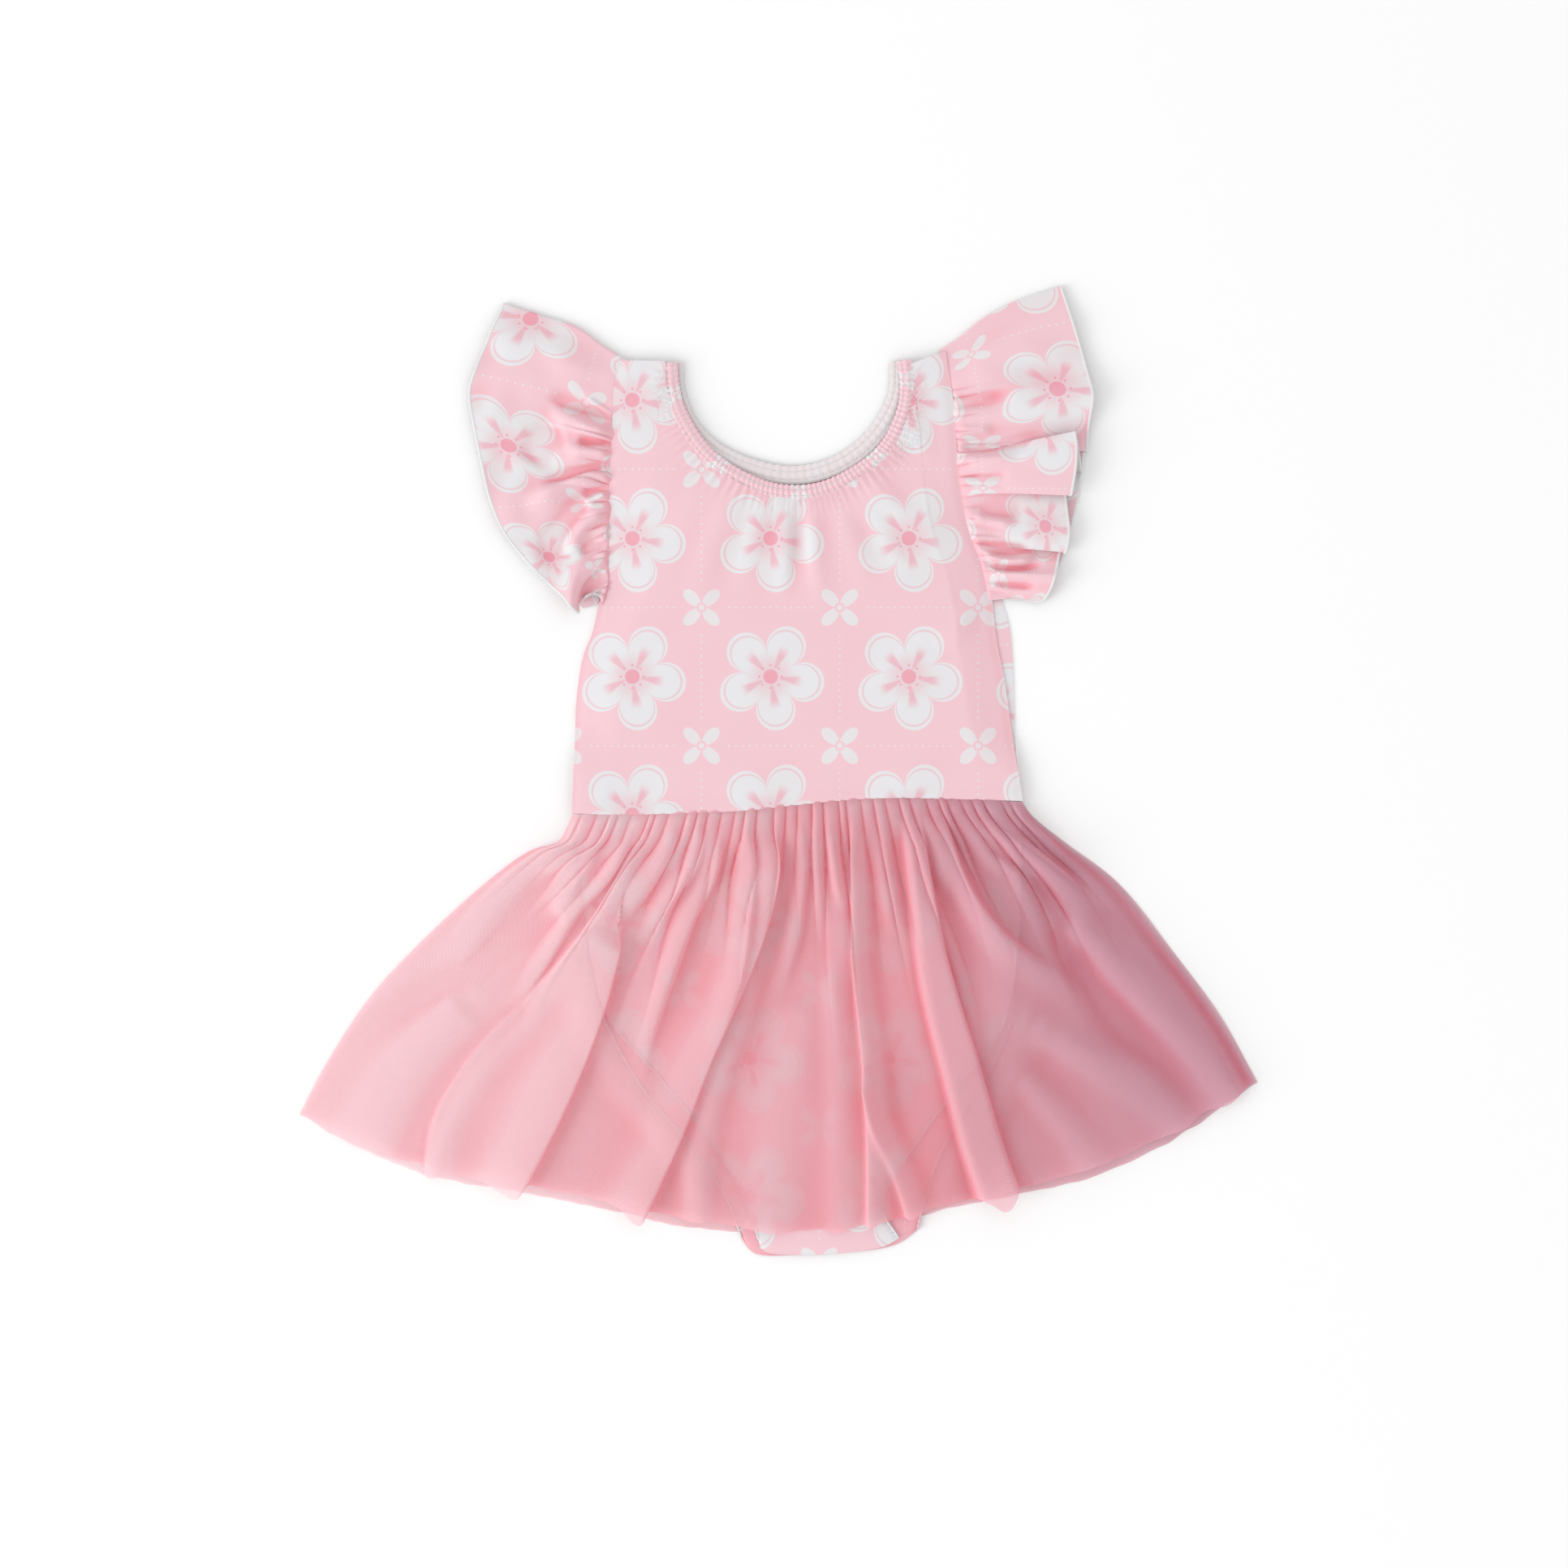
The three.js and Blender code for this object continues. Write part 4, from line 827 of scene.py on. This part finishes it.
def net():
    """Fine stretch net: rows of small holes, each row half a step along from the last."""
    shader = Shader("net", roughness=0.75, sheen=0.12)
    x, y = shader.cloth_xy()
    half_turn = TURN / 2 / NET_PITCH
    holes = ((x + y) * half_turn).op("SINE") * ((x - y) * half_turn).op("SINE")
    holes = holes.abs()
    cloudy = shader.noise(x, y, 26)
    cover = (holes * -0.34 + (NET_COVER + 0.14)) + (cloudy - 0.5) * 0.05
    rightward = x / SKIRT_CUT
    # Painted shade: the net covers more towards the right, away from the window, so that side reads darker
    cover = cover + (rightward - 0.5) * NET_DENSER_FOR_SHADE_AT_RIGHT
    # A steep flank shows more threads for each millimetre of the floor, so it hides more
    shape = shader.tree.nodes.new("ShaderNodeNewGeometry")
    split = shader.tree.nodes.new("ShaderNodeSeparateXYZ")
    shader.tree.links.new(shape.outputs["Normal"], split.inputs[0])
    flat = Wire(shader.tree, split.outputs[2]).abs().either(0.4)
    alpha = (cover.under(1) ** (flat ** -1.0)).under(1)
    # Painted shade: the yarn's colour deepens towards the right, away from the window
    yarn_and_shade = shader.blend(rightward.step(0.05, 0.55), NET_PALE, NET_HALF_SHADE)
    yarn_and_shade = shader.blend(rightward.step(0.55, 1), yarn_and_shade, NET_SHADE)
    yarn_and_shade = shader.blend(holes * 0.3, yarn_and_shade, NET_HOLE)
    # Painted shade in the hollows between folds and on flanks facing away from the window
    shader.paint(shader.blend(shader.painted_shade(), yarn_and_shade, PAINTED_SHADE_TINT, "MULTIPLY"))
    shader.bump(holes * -1, 0.4, 0.2)
    shader.surface.inputs["Specular IOR Level"].default_value = 0.15
    shader.let_light_through(alpha, NET_GLOW, NET_GLOW_SHARE)
    return shader.material


def thread(name, colour=THREAD_WHITE, pitch=1.1):
    """Twisted sewing thread."""
    shader = Shader(name, roughness=0.6, sheen=0.3)
    x, y = shader.cloth_xy()
    twist = ((x + y * 0.9) * (TURN / pitch)).op("SINE")
    shade = tuple(c * 0.9 for c in colour[:3]) + (1,)
    shader.paint(shader.blend(twist.step(-1, 1), shade, colour))
    shader.bump(twist, 0.2, 0.1)
    return shader.material


PRINTED = knit("printed_knit")
WRONG_SIDE = knit("knit_wrong_side", strength=0.45, ground=PINK_INSIDE)
NET = net()
SEWING = thread("white_thread")
# The legs' edges are cloth over elastic: white where the print is white at the crotch, and pink elsewhere
LEG_WHITE = thread("white_leg_edge", colour=WHITE, pitch=0.5)
LEG_PINK = thread("pink_leg_edge", colour=PINK, pitch=0.5)


waist = Line(WAIST)
neck_front = Line(NECK_FRONT)
neck_back = Line(NECK_BACK)
side_left = Line(SIDE_LEFT, ARMHOLE_LEFT)
side_right = Line(SIDE_RIGHT_FRONT, ARMHOLE_RIGHT)
side_right_back = Line(SIDE_RIGHT_BACK, ARMHOLE_RIGHT_BACK)


def front_seam_height(y):
    """The height of the front layer's underside at its seams."""
    low = mix(ON_BRIEF, ON_BACK, ease(-4, 22, y))
    return mix(low, SHOULDER_HEIGHT, ease(100, 180, y))


def neck_top(neck, width, height_left=201.2, height_right=202.4):
    """A panel's upper edge: the shoulder, the neck below its casing, and the other shoulder."""
    edge = neck.beside(-width)
    inner = edge.at(0.01 + 0.98 * spaced(60))
    first = (edge.at(0)[0], height_left)
    last = (edge.at(1)[0], height_right)
    return Line([ARMHOLE_LEFT[-1], first], inner, [last, ARMHOLE_RIGHT[-1]], rounded=False)


def bodice_front():
    u, v = map(spaced, BODICE_FRONT_GRID)
    top = neck_top(neck_front, CASING_FRONT.width - 1.0)
    xy = patch(waist, top, side_left, side_right, u, v)
    across, up = np.meshgrid(u, v)
    inside = off_sides(across, 0.1)
    loft = mix(ON_BRIEF, BODICE_LOFT, ease(0.04, 0.16, up))
    z = mix(front_seam_height(xy[..., 1]), loft, inside) + CLOTH

    # The neck's gathers run on below its casing and fade out
    distance, _, along, _ = beside_line(neck_front.points, xy.reshape(-1, 2))
    distance, along = distance.reshape(z.shape), along.reshape(z.shape)
    gather = np.cos(TURN * CASING_FRONT.gathers * along)
    fade = bell(distance - CASING_FRONT.width, NECK_GATHER_REACH) * ease(0, 0.08, 1 - abs(2 * along - 1))
    z += NECK_GATHER_HEIGHT * gather * fade
    z += 0.22 * ripple(xy, 5, 46) * inside

    # The sides turn down, and the waist's seam stands up a little above the skirt
    z -= mix(0.4, 0.6, ease(0, 24, xy[..., 1])) * bell(from_sides(across, BODICE_WIDTH), 2.8)
    above_waist = up * BODICE_DEPTH
    z += 0.5 * bell(above_waist, 4) - 0.4 * bell(above_waist, 1.6)
    grid = raise_folds(BODICE_FOLDS, lifted(xy, z), inside, start=0.3, end=0.6)
    # Painted shade: in the hollows between folds and on flanks that face away from the window
    painted_shade = np.clip(0.5 * hollows(grid[..., 2], 4, 4, 1.2) + 0.6 * facing_away(grid), 0, 1)
    return cloth("bodice_front_cloth", grid, xy + (4, 22), PRINTED, painted_shade=painted_shade)


def bodice_back():
    u, v = map(spaced, BODICE_BACK_GRID)
    top = neck_top(neck_back, CASING_BACK.width - 1.0)
    xy = patch(waist, top, side_left, side_right_back, u, v)
    across, _ = np.meshgrid(u, v)
    # The sides turn down to the floor
    turn_down = 0.3
    grid = lifted(xy, CLOTH - turn_down * bell(from_sides(across, BODICE_WIDTH), 2))
    thickness = CLOTH - turn_down
    return cloth("bodice_back_cloth", grid, xy + (30, 40), PRINTED, thickness=thickness)


def casing(name, neck, cut, material):
    """A shirred elastic casing along the neck, with its gathers as ribs and two grooves for its stitches."""
    chance = np.random.default_rng(cut.seed)
    u, v = spaced(cut.gathers * 8), spaced(14)
    outer = neck.beside(-cut.width)
    place = neck.at(u)[None] * (1 - v[:, None, None]) + outer.at(u)[None] * v[:, None, None]

    # Uneven gathers: their places drift along the band, and some are shallower
    knots = cut.gathers // 3
    drift = np.interp(u, spaced(knots), chance.uniform(-0.35, 0.35, knots + 1))
    rib = 0.5 + 0.5 * np.cos(TURN * (cut.gathers * u + drift))
    rib = rib * np.interp(u, spaced(cut.gathers), chance.uniform(0.6, 1.15, cut.gathers + 1))
    arch = np.sin(math.pi * (0.08 + 0.84 * v)) ** 0.5
    stitched = 1 - GROOVE_DEPTH * sum(bell(v - groove, GROOVE_WIDTH) for groove in GROOVES)
    z = cut.height + cut.loft * arch[:, None] * stitched[:, None] * mix(cut.lowest_rib, 1.0, rib)[None]

    # The gathers push the neck's edge in and out
    edge = bell(v, 0.12)[:, None] * rib[None] * 0.45
    normal = (neck.at(u) - outer.at(u)) / cut.width
    grid = lifted(place + normal[None] * edge[..., None], z)
    uv = np.stack(np.broadcast_arrays(u[None] * neck.length * 1.7, v[:, None] * cut.width * 1.2), -1)
    return cloth(name, grid[::-1], uv[::-1] + (9, 31), material, thickness=CASING_KNIT)


def stitches(name, line, height, count, length, slant):
    """A row of thread stitches along a line, as one mesh of short capsules. slant turns them to and fro."""
    chance = np.random.default_rng(count)
    points, faces, uv = [], [], []
    sides, radius = 6, STITCH_RADIUS
    # Places along a stitch from -0.5 to 0.5, and how thick it is there
    profile = [(-0.5, 0.25), (-0.4, 0.8), (-0.15, 1.0), (0.15, 1.0), (0.4, 0.8), (0.5, 0.25)]
    for k in range(count):
        u = (k + 0.5) / count
        centre = line.at(u)
        run = line.at(u + 0.002) - line.at(u - 0.002)
        turn = math.atan2(run[1], run[0]) + slant * (1 if k % 2 else -1) + chance.uniform(-0.06, 0.06)
        d = np.array([math.cos(turn), math.sin(turn), 0])
        n = np.array([-d[1], d[0], 0])
        first = len(points)
        for along, wide in profile:
            for s in range(sides):
                a = s * TURN / sides
                lift = radius * wide * math.sin(a) - radius * 1.4 * (2 * along) ** 2 * 0.6
                at = np.array([*centre, height]) + d * along * length + n * radius * wide * math.cos(a)
                points.append(at + (0, 0, lift))
                uv.append((along * length + k * 3, a * radius))
        for r in range(len(profile) - 1):
            for s in range(sides):
                a, b = first + r * sides + s, first + r * sides + (s + 1) % sides
                faces.append([a, a + sides, b + sides, b])
        faces.append([first + s for s in range(sides)])
        faces.append([first + (len(profile) - 1) * sides + s for s in reversed(range(sides))])
    return make_mesh(name, points, faces, uv, SEWING)


def sleeve(name, cut, folds, side, seed):
    """A flutter sleeve in one sheet: its front layer, the fold over the shoulder and its back layer.
    side is 1 on the left and -1 on the right."""
    chance = np.random.default_rng(seed)
    seam_front = Line(cut["armhole_front"]).beside(-side * 2.2)
    seam_back = Line(cut["armhole_back"]).beside(side * 0.5)
    fold = Line([tuple(seam_front.at(1))] + cut["fold"][1:])
    hem_back = Line(cut["hem_back"])
    v = spaced(SLEEVE_ROWS)
    out = v[:, None]

    # The front layer runs straight from its seam to its waved hem, and rises fastest near the seam
    waves = smooth(cut["hem_front"], 1200)
    travelled = np.concatenate([[0], np.cumsum(np.linalg.norm(np.diff(waves[:, 1:], axis=0), axis=1))])
    even = spaced(SLEEVE_FRONT_COLUMNS) * travelled[-1]
    seam_share, hem_x, hem_y, hem_z = (np.interp(even, travelled, waves[:, k]) for k in range(4))
    seam_xy = seam_front.at(seam_share)[None]
    hem_xy = np.stack([hem_x, hem_y], -1)[None]
    xy = mix(seam_xy, hem_xy, out[..., None])
    bow = np.interp(even, travelled, waves[:, 4])[None] * 4 * out * (1 - out)
    way = hem_xy - seam_xy
    way = way / np.linalg.norm(way, axis=-1, keepdims=True)
    xy = xy + bow[..., None] * side * np.stack([way[..., 1], -way[..., 0]], -1)
    to_fold = fold.at(v)[:, None] - xy[:, -1:]
    xy = xy + to_fold * (seam_share ** 4)[None, :, None]
    below_fold = (1 - ease(0.88, 1, seam_share))[None]
    low = front_seam_height(seam_xy[..., 1]) - 0.3
    z = mix(low, hem_z[None], 1 - (1 - out) ** 2.2)
    across = np.broadcast_to(seam_share[None], z.shape)
    gathered = ease(0, 0.06, out) * (1 - ease(cut["smooth_from"], cut["smooth_from"] + 0.12, across))
    z = z + gathers(across, out * SLEEVE_DEPTH, SLEEVE_GATHERS, chance) * gathered
    z = z + 0.4 * ripple(xy, seed, 26) * ease(0, 0.3, out) * below_fold
    share = below_fold * ease(-0.04, 0.06, across) * mix(0.7, 1, ease(0, 0.2, out))
    front = raise_folds(folds, lifted(xy, z), share, start=0.2, end=0.35, root=0.7, tip=1.2)
    lowest = mix(low, ON_BACK + 0.9, ease(0, 0.05, out))
    front[..., 2] = lowest + soft_floor(front[..., 2] - lowest)

    # The back layer lies flat, and a half turn round the shoulder's fold joins the two
    back_steps = spaced(SLEEVE_BACK_COLUMNS)
    start = Line([tuple(seam_back.at(0)), hem_back.points[0]], rounded=False)
    back = lifted(patch(seam_back, hem_back, start, fold, back_steps, v), 0.7)
    ripple_back = 0.25 * (1 + ripple(back[..., :2], seed + 1, 25))
    back[..., 2] += ripple_back * ease(0, 0.2, out[:, :1])
    run = fold.at(v + 0.01) - fold.at(v - 0.01)
    run /= np.linalg.norm(run, axis=1)[:, None]
    outward = side * np.stack([run[:, 1], -run[:, 0]], -1)
    high, low = front[:, -1, 2], back[:, -1, 2]
    radius = (high - low) / 2
    turn = []
    for angle in np.linspace(90, -90, 9)[1:-1]:
        c, s = math.cos(math.radians(angle)), math.sin(math.radians(angle))
        place = front[:, -1, :2] * (0.5 + s / 2) + back[:, -1, :2] * (0.5 - s / 2)
        place = place + outward * (radius * c)[:, None]
        turn.append(lifted(place, (high + low) / 2 + radius * s)[:, None])
    grid = np.concatenate([front, *turn, back[:, ::-1]], 1)

    # The print runs on from the front to the back
    back_run = travelled[-1] + back_steps * SLEEVE_BACK_RUN
    uv_across = np.concatenate([even, np.full(len(turn), even[-1]), back_run])
    uv = np.stack(np.broadcast_arrays(uv_across[None], v[:, None] * SLEEVE_CUT), -1)
    # Painted shade on the front layer: in hollows between folds, along the gathers at the seam, and on flanks
    # facing away from the window
    painted_shade = np.zeros(grid.shape[:2])
    fine, broad = hollows(front[..., 2], 5, 3, 1.2), hollows(front[..., 2], 14, 8, 2.4)
    sleeve_shade = 0.6 * fine + 0.5 * broad + 0.3 * (1 - ease(0, 0.15, out)) * gathered + 0.5 * facing_away(front)
    painted_shade[:, :len(even)] = np.clip(sleeve_shade, 0, 1)
    piece = cloth(
        name, grid, uv[..., ::-1] + (20, 8), PRINTED,
        thickness=SLEEVE_KNIT, turned=side < 0, painted_shade=painted_shade,
    )
    return piece, grid


def sleeve_hem(name, grid):
    """The white overlocked edge of a sleeve."""
    path = grid[-1].copy()
    keep = [0]
    for i in range(1, len(path)):
        if np.linalg.norm(path[i] - path[keep[-1]]) > 0.45:
            keep.append(i)
    path = path[keep]
    path[:, 2] = np.maximum(path[:, 2] - 0.12, 0.5)
    along = np.concatenate([[0], np.cumsum(np.linalg.norm(np.diff(path, axis=0), axis=1))])
    fine = np.arange(0, along[-1], 0.5)
    path = np.stack([np.interp(fine, along, path[:, k]) for k in range(3)], -1)
    loops = OVERLOCK_RADIUS + 0.06 * np.sin(TURN * fine / OVERLOCK_PITCH)
    return tube(name, path, loops, SEWING, flat=0.45)


brief_left, brief_right = Line(BRIEF_BACK_LEFT), Line(BRIEF_BACK_RIGHT)


def held_by_brief(xy):
    """How far the brief holds the skirt's front layer up: fully over the brief, easing off beside it."""
    def edge(side):
        order = np.argsort(side.points[:, 1])
        return np.interp(xy[..., 1], side.points[order, 1], side.points[order, 0])
    outside = np.maximum(edge(brief_left) - xy[..., 0], xy[..., 0] - edge(brief_right))
    return 1 - ease(6, 26, outside)


def gathers(across, down, seam, chance):
    """Gathers as tubes side by side, uneven in width and height, each fading out at its own distance."""
    count = seam.count
    edges = (np.arange(count + 1) + np.r_[0, chance.uniform(-0.3, 0.3, count - 1), 0]) / count
    high = chance.uniform(*seam.heights, count)
    reach = chance.uniform(*seam.reaches, count)
    wander = chance.uniform(-1, 1, (count + 1, 2))
    phase = 2 * np.interp(across, edges, wander[:, 1])
    drift = (0.35 / count) * np.interp(across, edges, wander[:, 0]) * np.sin(down / 19 + phase)
    place = np.clip(across + drift * ease(6, 40, down), 0, 0.999999)
    k = np.clip(np.searchsorted(edges, place, side="right") - 1, 0, count - 1)
    q = (place - edges[k]) / (edges[k + 1] - edges[k]) * 2 - 1
    tube_top = np.sqrt(np.maximum(1 - q * q * 0.985, 0))
    fade = 1 - ease(0.2 * reach[k], reach[k], down)
    return high[k] * tube_top * fade * mix(0.35, 1, ease(0, 5, down))


def skirt_front():
    chance = np.random.default_rng(11)
    s, rows = map(spaced, SKIRT_FRONT_GRID)
    # Rows lie closer towards the waist, to carry its gathers
    v = (1 - rows ** 1.25)[::-1]
    top = waist.beside(1.5)
    xy = patch(Line(HEM_FRONT), top, Line(SKIRT_LEFT).back(), Line(SKIRT_RIGHT).back(), s, v, hold=5)
    across, up = np.meshgrid(s, v)
    down = (1 - up) * SKIRT_DEPTH
    edge = off_sides(across, 0.02)
    z = mix(ON_BACK + 0.5, ON_BRIEF + 0.2, held_by_brief(xy))
    distance, side, _, _ = beside_line(smooth(SKIRT_PUFF, 40), xy.reshape(-1, 2))
    puff = PUFF_HEIGHT * bell(distance, np.where(side > 0, PUFF_RIGHT, PUFF_LEFT)).reshape(z.shape)
    z += puff * ease(20, 90, down) * edge
    z += gathers(across, down, SKIRT_GATHERS, chance) * edge
    z += 0.45 * ripple(np.stack([across * 500, down], -1) * (1, 0.35), 3, 34) * edge * ease(20, 60, down)
    share = edge * ease(2, 34, down)
    grid = raise_folds(SKIRT_FOLDS, lifted(xy, z), share, start=0.12, root=0.7, tip=1.15)
    floor = mix(ON_BACK + 0.3, ON_BRIEF + 0.1, held_by_brief(grid[..., :2]))
    grid[..., 2] = floor + soft_floor(grid[..., 2] - floor)
    grid[0, :, 1] += 0.35 * ripple(grid[0, :, :2], 9, 14)
    uv = np.stack([across * SKIRT_CUT, down], -1)
    # Painted shade: in narrow and broad hollows between folds, and on flanks facing away from the window,
    # more so further from the waist
    fine, broad = hollows(grid[..., 2], 7, 2, 1.4), hollows(grid[..., 2], 30, 10, 2.6, level=0.2)
    away = facing_away(grid) * mix(0.3, 0.6, ease(10, 80, down))
    painted_shade = np.clip(0.44 * fine + 0.45 * broad + away, 0, 1)
    return cloth("skirt_front_net", grid, uv, NET, thickness=0, painted_shade=painted_shade)


def skirt_back():
    s, v = map(spaced, SKIRT_BACK_GRID)
    left, right = Line(SKIRT_LEFT).back(), Line(SKIRT_RIGHT_BACK).back()
    xy = patch(Line(HEM_BACK), waist.beside(-0.5), left, right, s, v, hold=5)
    across, up = np.meshgrid(s, v)
    down = (1 - up) * SKIRT_BACK_DEPTH
    edge = off_sides(across, 0.02)
    z = 0.45 + 0.28 * np.cos(TURN * SKIRT_BACK_GATHERS * across) * (1 - ease(20, 90, down)) * edge
    z += 0.12 * ripple(xy, 21, 30)
    grid = lifted(xy, np.clip(z, 0.1, 0.95))
    grid[0, :, 1] += 0.4 * ripple(xy[0], 13, 12)
    uv = np.stack([across * SKIRT_CUT, down + 7], -1)
    return cloth("skirt_back_net", grid, uv, NET, thickness=0)


def brief(name, left, right, crotch, height, folds, uv_shift, rib, roll, painted_shade):
    """One panel of the brief. rib is the depth of the elastic's gathers along its leg edges, roll is how far
    those edges turn down, and the last is how much shade is painted on the panel, for how little light
    reaches it."""
    # Columns lie closer towards the leg edges, to carry the gathers of the elastic
    columns, v = map(spaced, BRIEF_GRID)
    u = 0.5 - 0.5 * np.cos(math.pi * columns)
    tucked = Line([(x * 0.994, y + 5) for x, y in WAIST])
    xy = patch(Line(crotch), tucked, Line(left).back(), Line(right).back(), u, v)
    across, up = np.meshgrid(u, v)
    from_leg, above_crotch = from_sides(across, BRIEF_WIDTH), up * BRIEF_DEPTH
    leg = (1 - ease(LEG_SHARE - 0.06, LEG_SHARE + 0.04, up)) * bell(from_leg, 7)
    wander = 0.3 * ripple(np.stack([above_crotch, across * 0], -1), 77, 17)
    z = height + BRIEF_RISE + rib * leg * np.cos(TURN * (LEG_GATHERS * up + wander))
    z -= CROTCH_DIP * bell(above_crotch, 3)
    z -= roll * bell(from_leg, 4)
    grid = lifted(xy, np.maximum(z, height + BRIEF_LOWEST))
    if folds:
        inside = off_sides(across, 0.06) * ease(0, 0.05, up)
        low = raise_folds(folds, grid.copy(), inside, start=0.3, end=0.4)
        grid[..., 2] = np.minimum(low[..., 2], height + BRIEF_HIGHEST)
    depth = np.full(grid.shape[:2], painted_shade)
    return cloth(name, grid, xy + uv_shift, PRINTED, thickness=BRIEF_KNIT, painted_shade=depth)


def leg_edge(name, outline, height, material, seed):
    """The gathered elastic edge of one leg, from the crotch up to the hip."""
    leg = Line(outline).back()
    share = spaced(LEG_EDGE_STEPS) * LEG_SHARE
    path = leg.at(share)
    run = share * leg.length
    swell = ripple(np.stack([run, 0 * run], -1), seed, 3.4)
    radius = LEG_EDGE_RADIUS + 0.08 * np.cos(TURN * run / LEG_EDGE_PITCH + swell) + 0.07 * swell
    path = lifted(path, height + LEG_EDGE_LIFT + 0.12 * swell)
    return tube(name, path, radius, material, sides=10)


def dress(piece, *nodes):
    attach(piece, "root")
    if nodes:
        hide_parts(*nodes)
    return piece


def make_garment():
    front = dress(bodice_front(), "bodice_front")
    back = dress(bodice_back(), "bodice_back")
    band_front = casing("neck_casing_front_cloth", neck_front, CASING_FRONT, PRINTED)
    band_back = casing("neck_casing_back_cloth", neck_back, CASING_BACK, WRONG_SIDE)
    dress(band_front, "neck_casing_front")
    dress(band_back, "neck_casing_back")
    # Each row's name, line, height and number of stitches, and the length and slant of each stitch
    rows = [
        ("neck_stitch_front_upper", neck_front.beside(-2.2), 4.72, 148, 1.15, 0.0),
        ("neck_stitch_front_lower", neck_front.beside(-5.3), 4.72, 148, 1.15, 0.0),
        ("neck_stitch_back_upper", neck_back.beside(-2.6), 2.3, 132, 1.5, 0.75),
        ("neck_stitch_back_lower", neck_back.beside(-6.4), 2.3, 140, 1.5, 0.75),
    ]
    for row in rows:
        dress(stitches(*row))
    for name, cut, folds, side, seed in (
        ("sleeve_left", SLEEVE_LEFT, SLEEVE_LEFT_FOLDS, 1, 41),
        ("sleeve_right", SLEEVE_RIGHT, SLEEVE_RIGHT_FOLDS, -1, 42),
    ):
        piece, grid = sleeve(name + "_cloth", cut, folds, side, seed)
        dress(piece, name)
        hem = dress(sleeve_hem(name + "_hem", grid))
    brief_front = brief(
        "brief_front_cloth", BRIEF_FRONT_LEFT, BRIEF_FRONT_RIGHT, CROTCH_FRONT, BRIEF_FRONT_LAYER,
        BRIEF_FOLDS, uv_shift=(14, 6), rib=0.45, roll=0.6, painted_shade=0.0,
    )
    # The back panel lies under the front one, so an even shade is painted on it
    brief_back = brief(
        "brief_back_cloth", BRIEF_BACK_LEFT, BRIEF_BACK_RIGHT, CROTCH_BACK, BRIEF_BACK_LAYER,
        [], uv_shift=(40, 12), rib=0.35, roll=0.5, painted_shade=0.55,
    )
    dress(brief_front, "brief_front")
    dress(brief_back, "brief_back")
    for name, outline, height, material, seed in (
        ("leg_edge_front_left", BRIEF_FRONT_LEFT, BRIEF_FRONT_LAYER, LEG_WHITE, 61),
        ("leg_edge_front_right", BRIEF_FRONT_RIGHT, BRIEF_FRONT_LAYER, LEG_WHITE, 62),
        ("leg_edge_back_left", BRIEF_BACK_LEFT, BRIEF_BACK_LAYER, LEG_WHITE, 63),
        ("leg_edge_back_right", BRIEF_BACK_RIGHT, BRIEF_BACK_LAYER, LEG_PINK, 64),
    ):
        dress(leg_edge(name, outline, height, material, seed))
    net_front = dress(skirt_front(), "skirt_front")
    net_back = dress(skirt_back(), "skirt_back")


def make_camera():
    data = bpy.data.cameras.new("camera")
    data.sensor_width = SENSOR_WIDTH
    data.lens = SENSOR_WIDTH * CAMERA_HEIGHT / VIEW_WIDTH
    camera = bpy.data.objects.new("camera", data)
    camera.location = (VIEW_CENTRE[0] * MM, VIEW_CENTRE[1] * MM, CAMERA_HEIGHT * MM)
    bpy.context.collection.objects.link(camera)
    bpy.context.scene.camera = camera


def make_floor():
    mesh = bpy.data.meshes.new("floor")
    corners = [(x * FLOOR_REACH, y * FLOOR_REACH, 0) for x, y in ((-1, -1), (1, -1), (1, 1), (-1, 1))]
    mesh.from_pydata(corners, [], [(0, 1, 2, 3)])
    shader = Shader("floor", roughness=0.9)
    shader.surface.inputs["Base Color"].default_value = FLOOR_WHITE
    mesh.materials.append(shader.material)
    floor = bpy.data.objects.new("floor", mesh)
    bpy.context.collection.objects.link(floor)


def make_window():
    """The window's light, turned towards the garment."""
    data = bpy.data.lights.new("window", "AREA")
    data.shape = "DISK"
    data.size = WINDOW_SIZE
    data.energy = WINDOW_POWER
    window = bpy.data.objects.new("window", data)
    window.location = WINDOW_PLACE
    x, y, z = WINDOW_PLACE
    window.rotation_euler = (math.acos(z / math.hypot(x, y, z)), 0, math.atan2(y, x) + math.pi / 2)
    bpy.context.collection.objects.link(window)


def make_room():
    """Light from all sides, and plain colours in the picture."""
    world = bpy.data.worlds.new("studio")
    bpy.context.scene.world = world
    world.use_nodes = True
    sky = world.node_tree.nodes["Background"]
    sky.inputs["Color"].default_value = ROOM_WHITE
    sky.inputs["Strength"].default_value = ROOM_STRENGTH
    bpy.context.scene.view_settings.view_transform = "Standard"


make_camera()
make_floor()
make_window()
make_room()
make_garment()
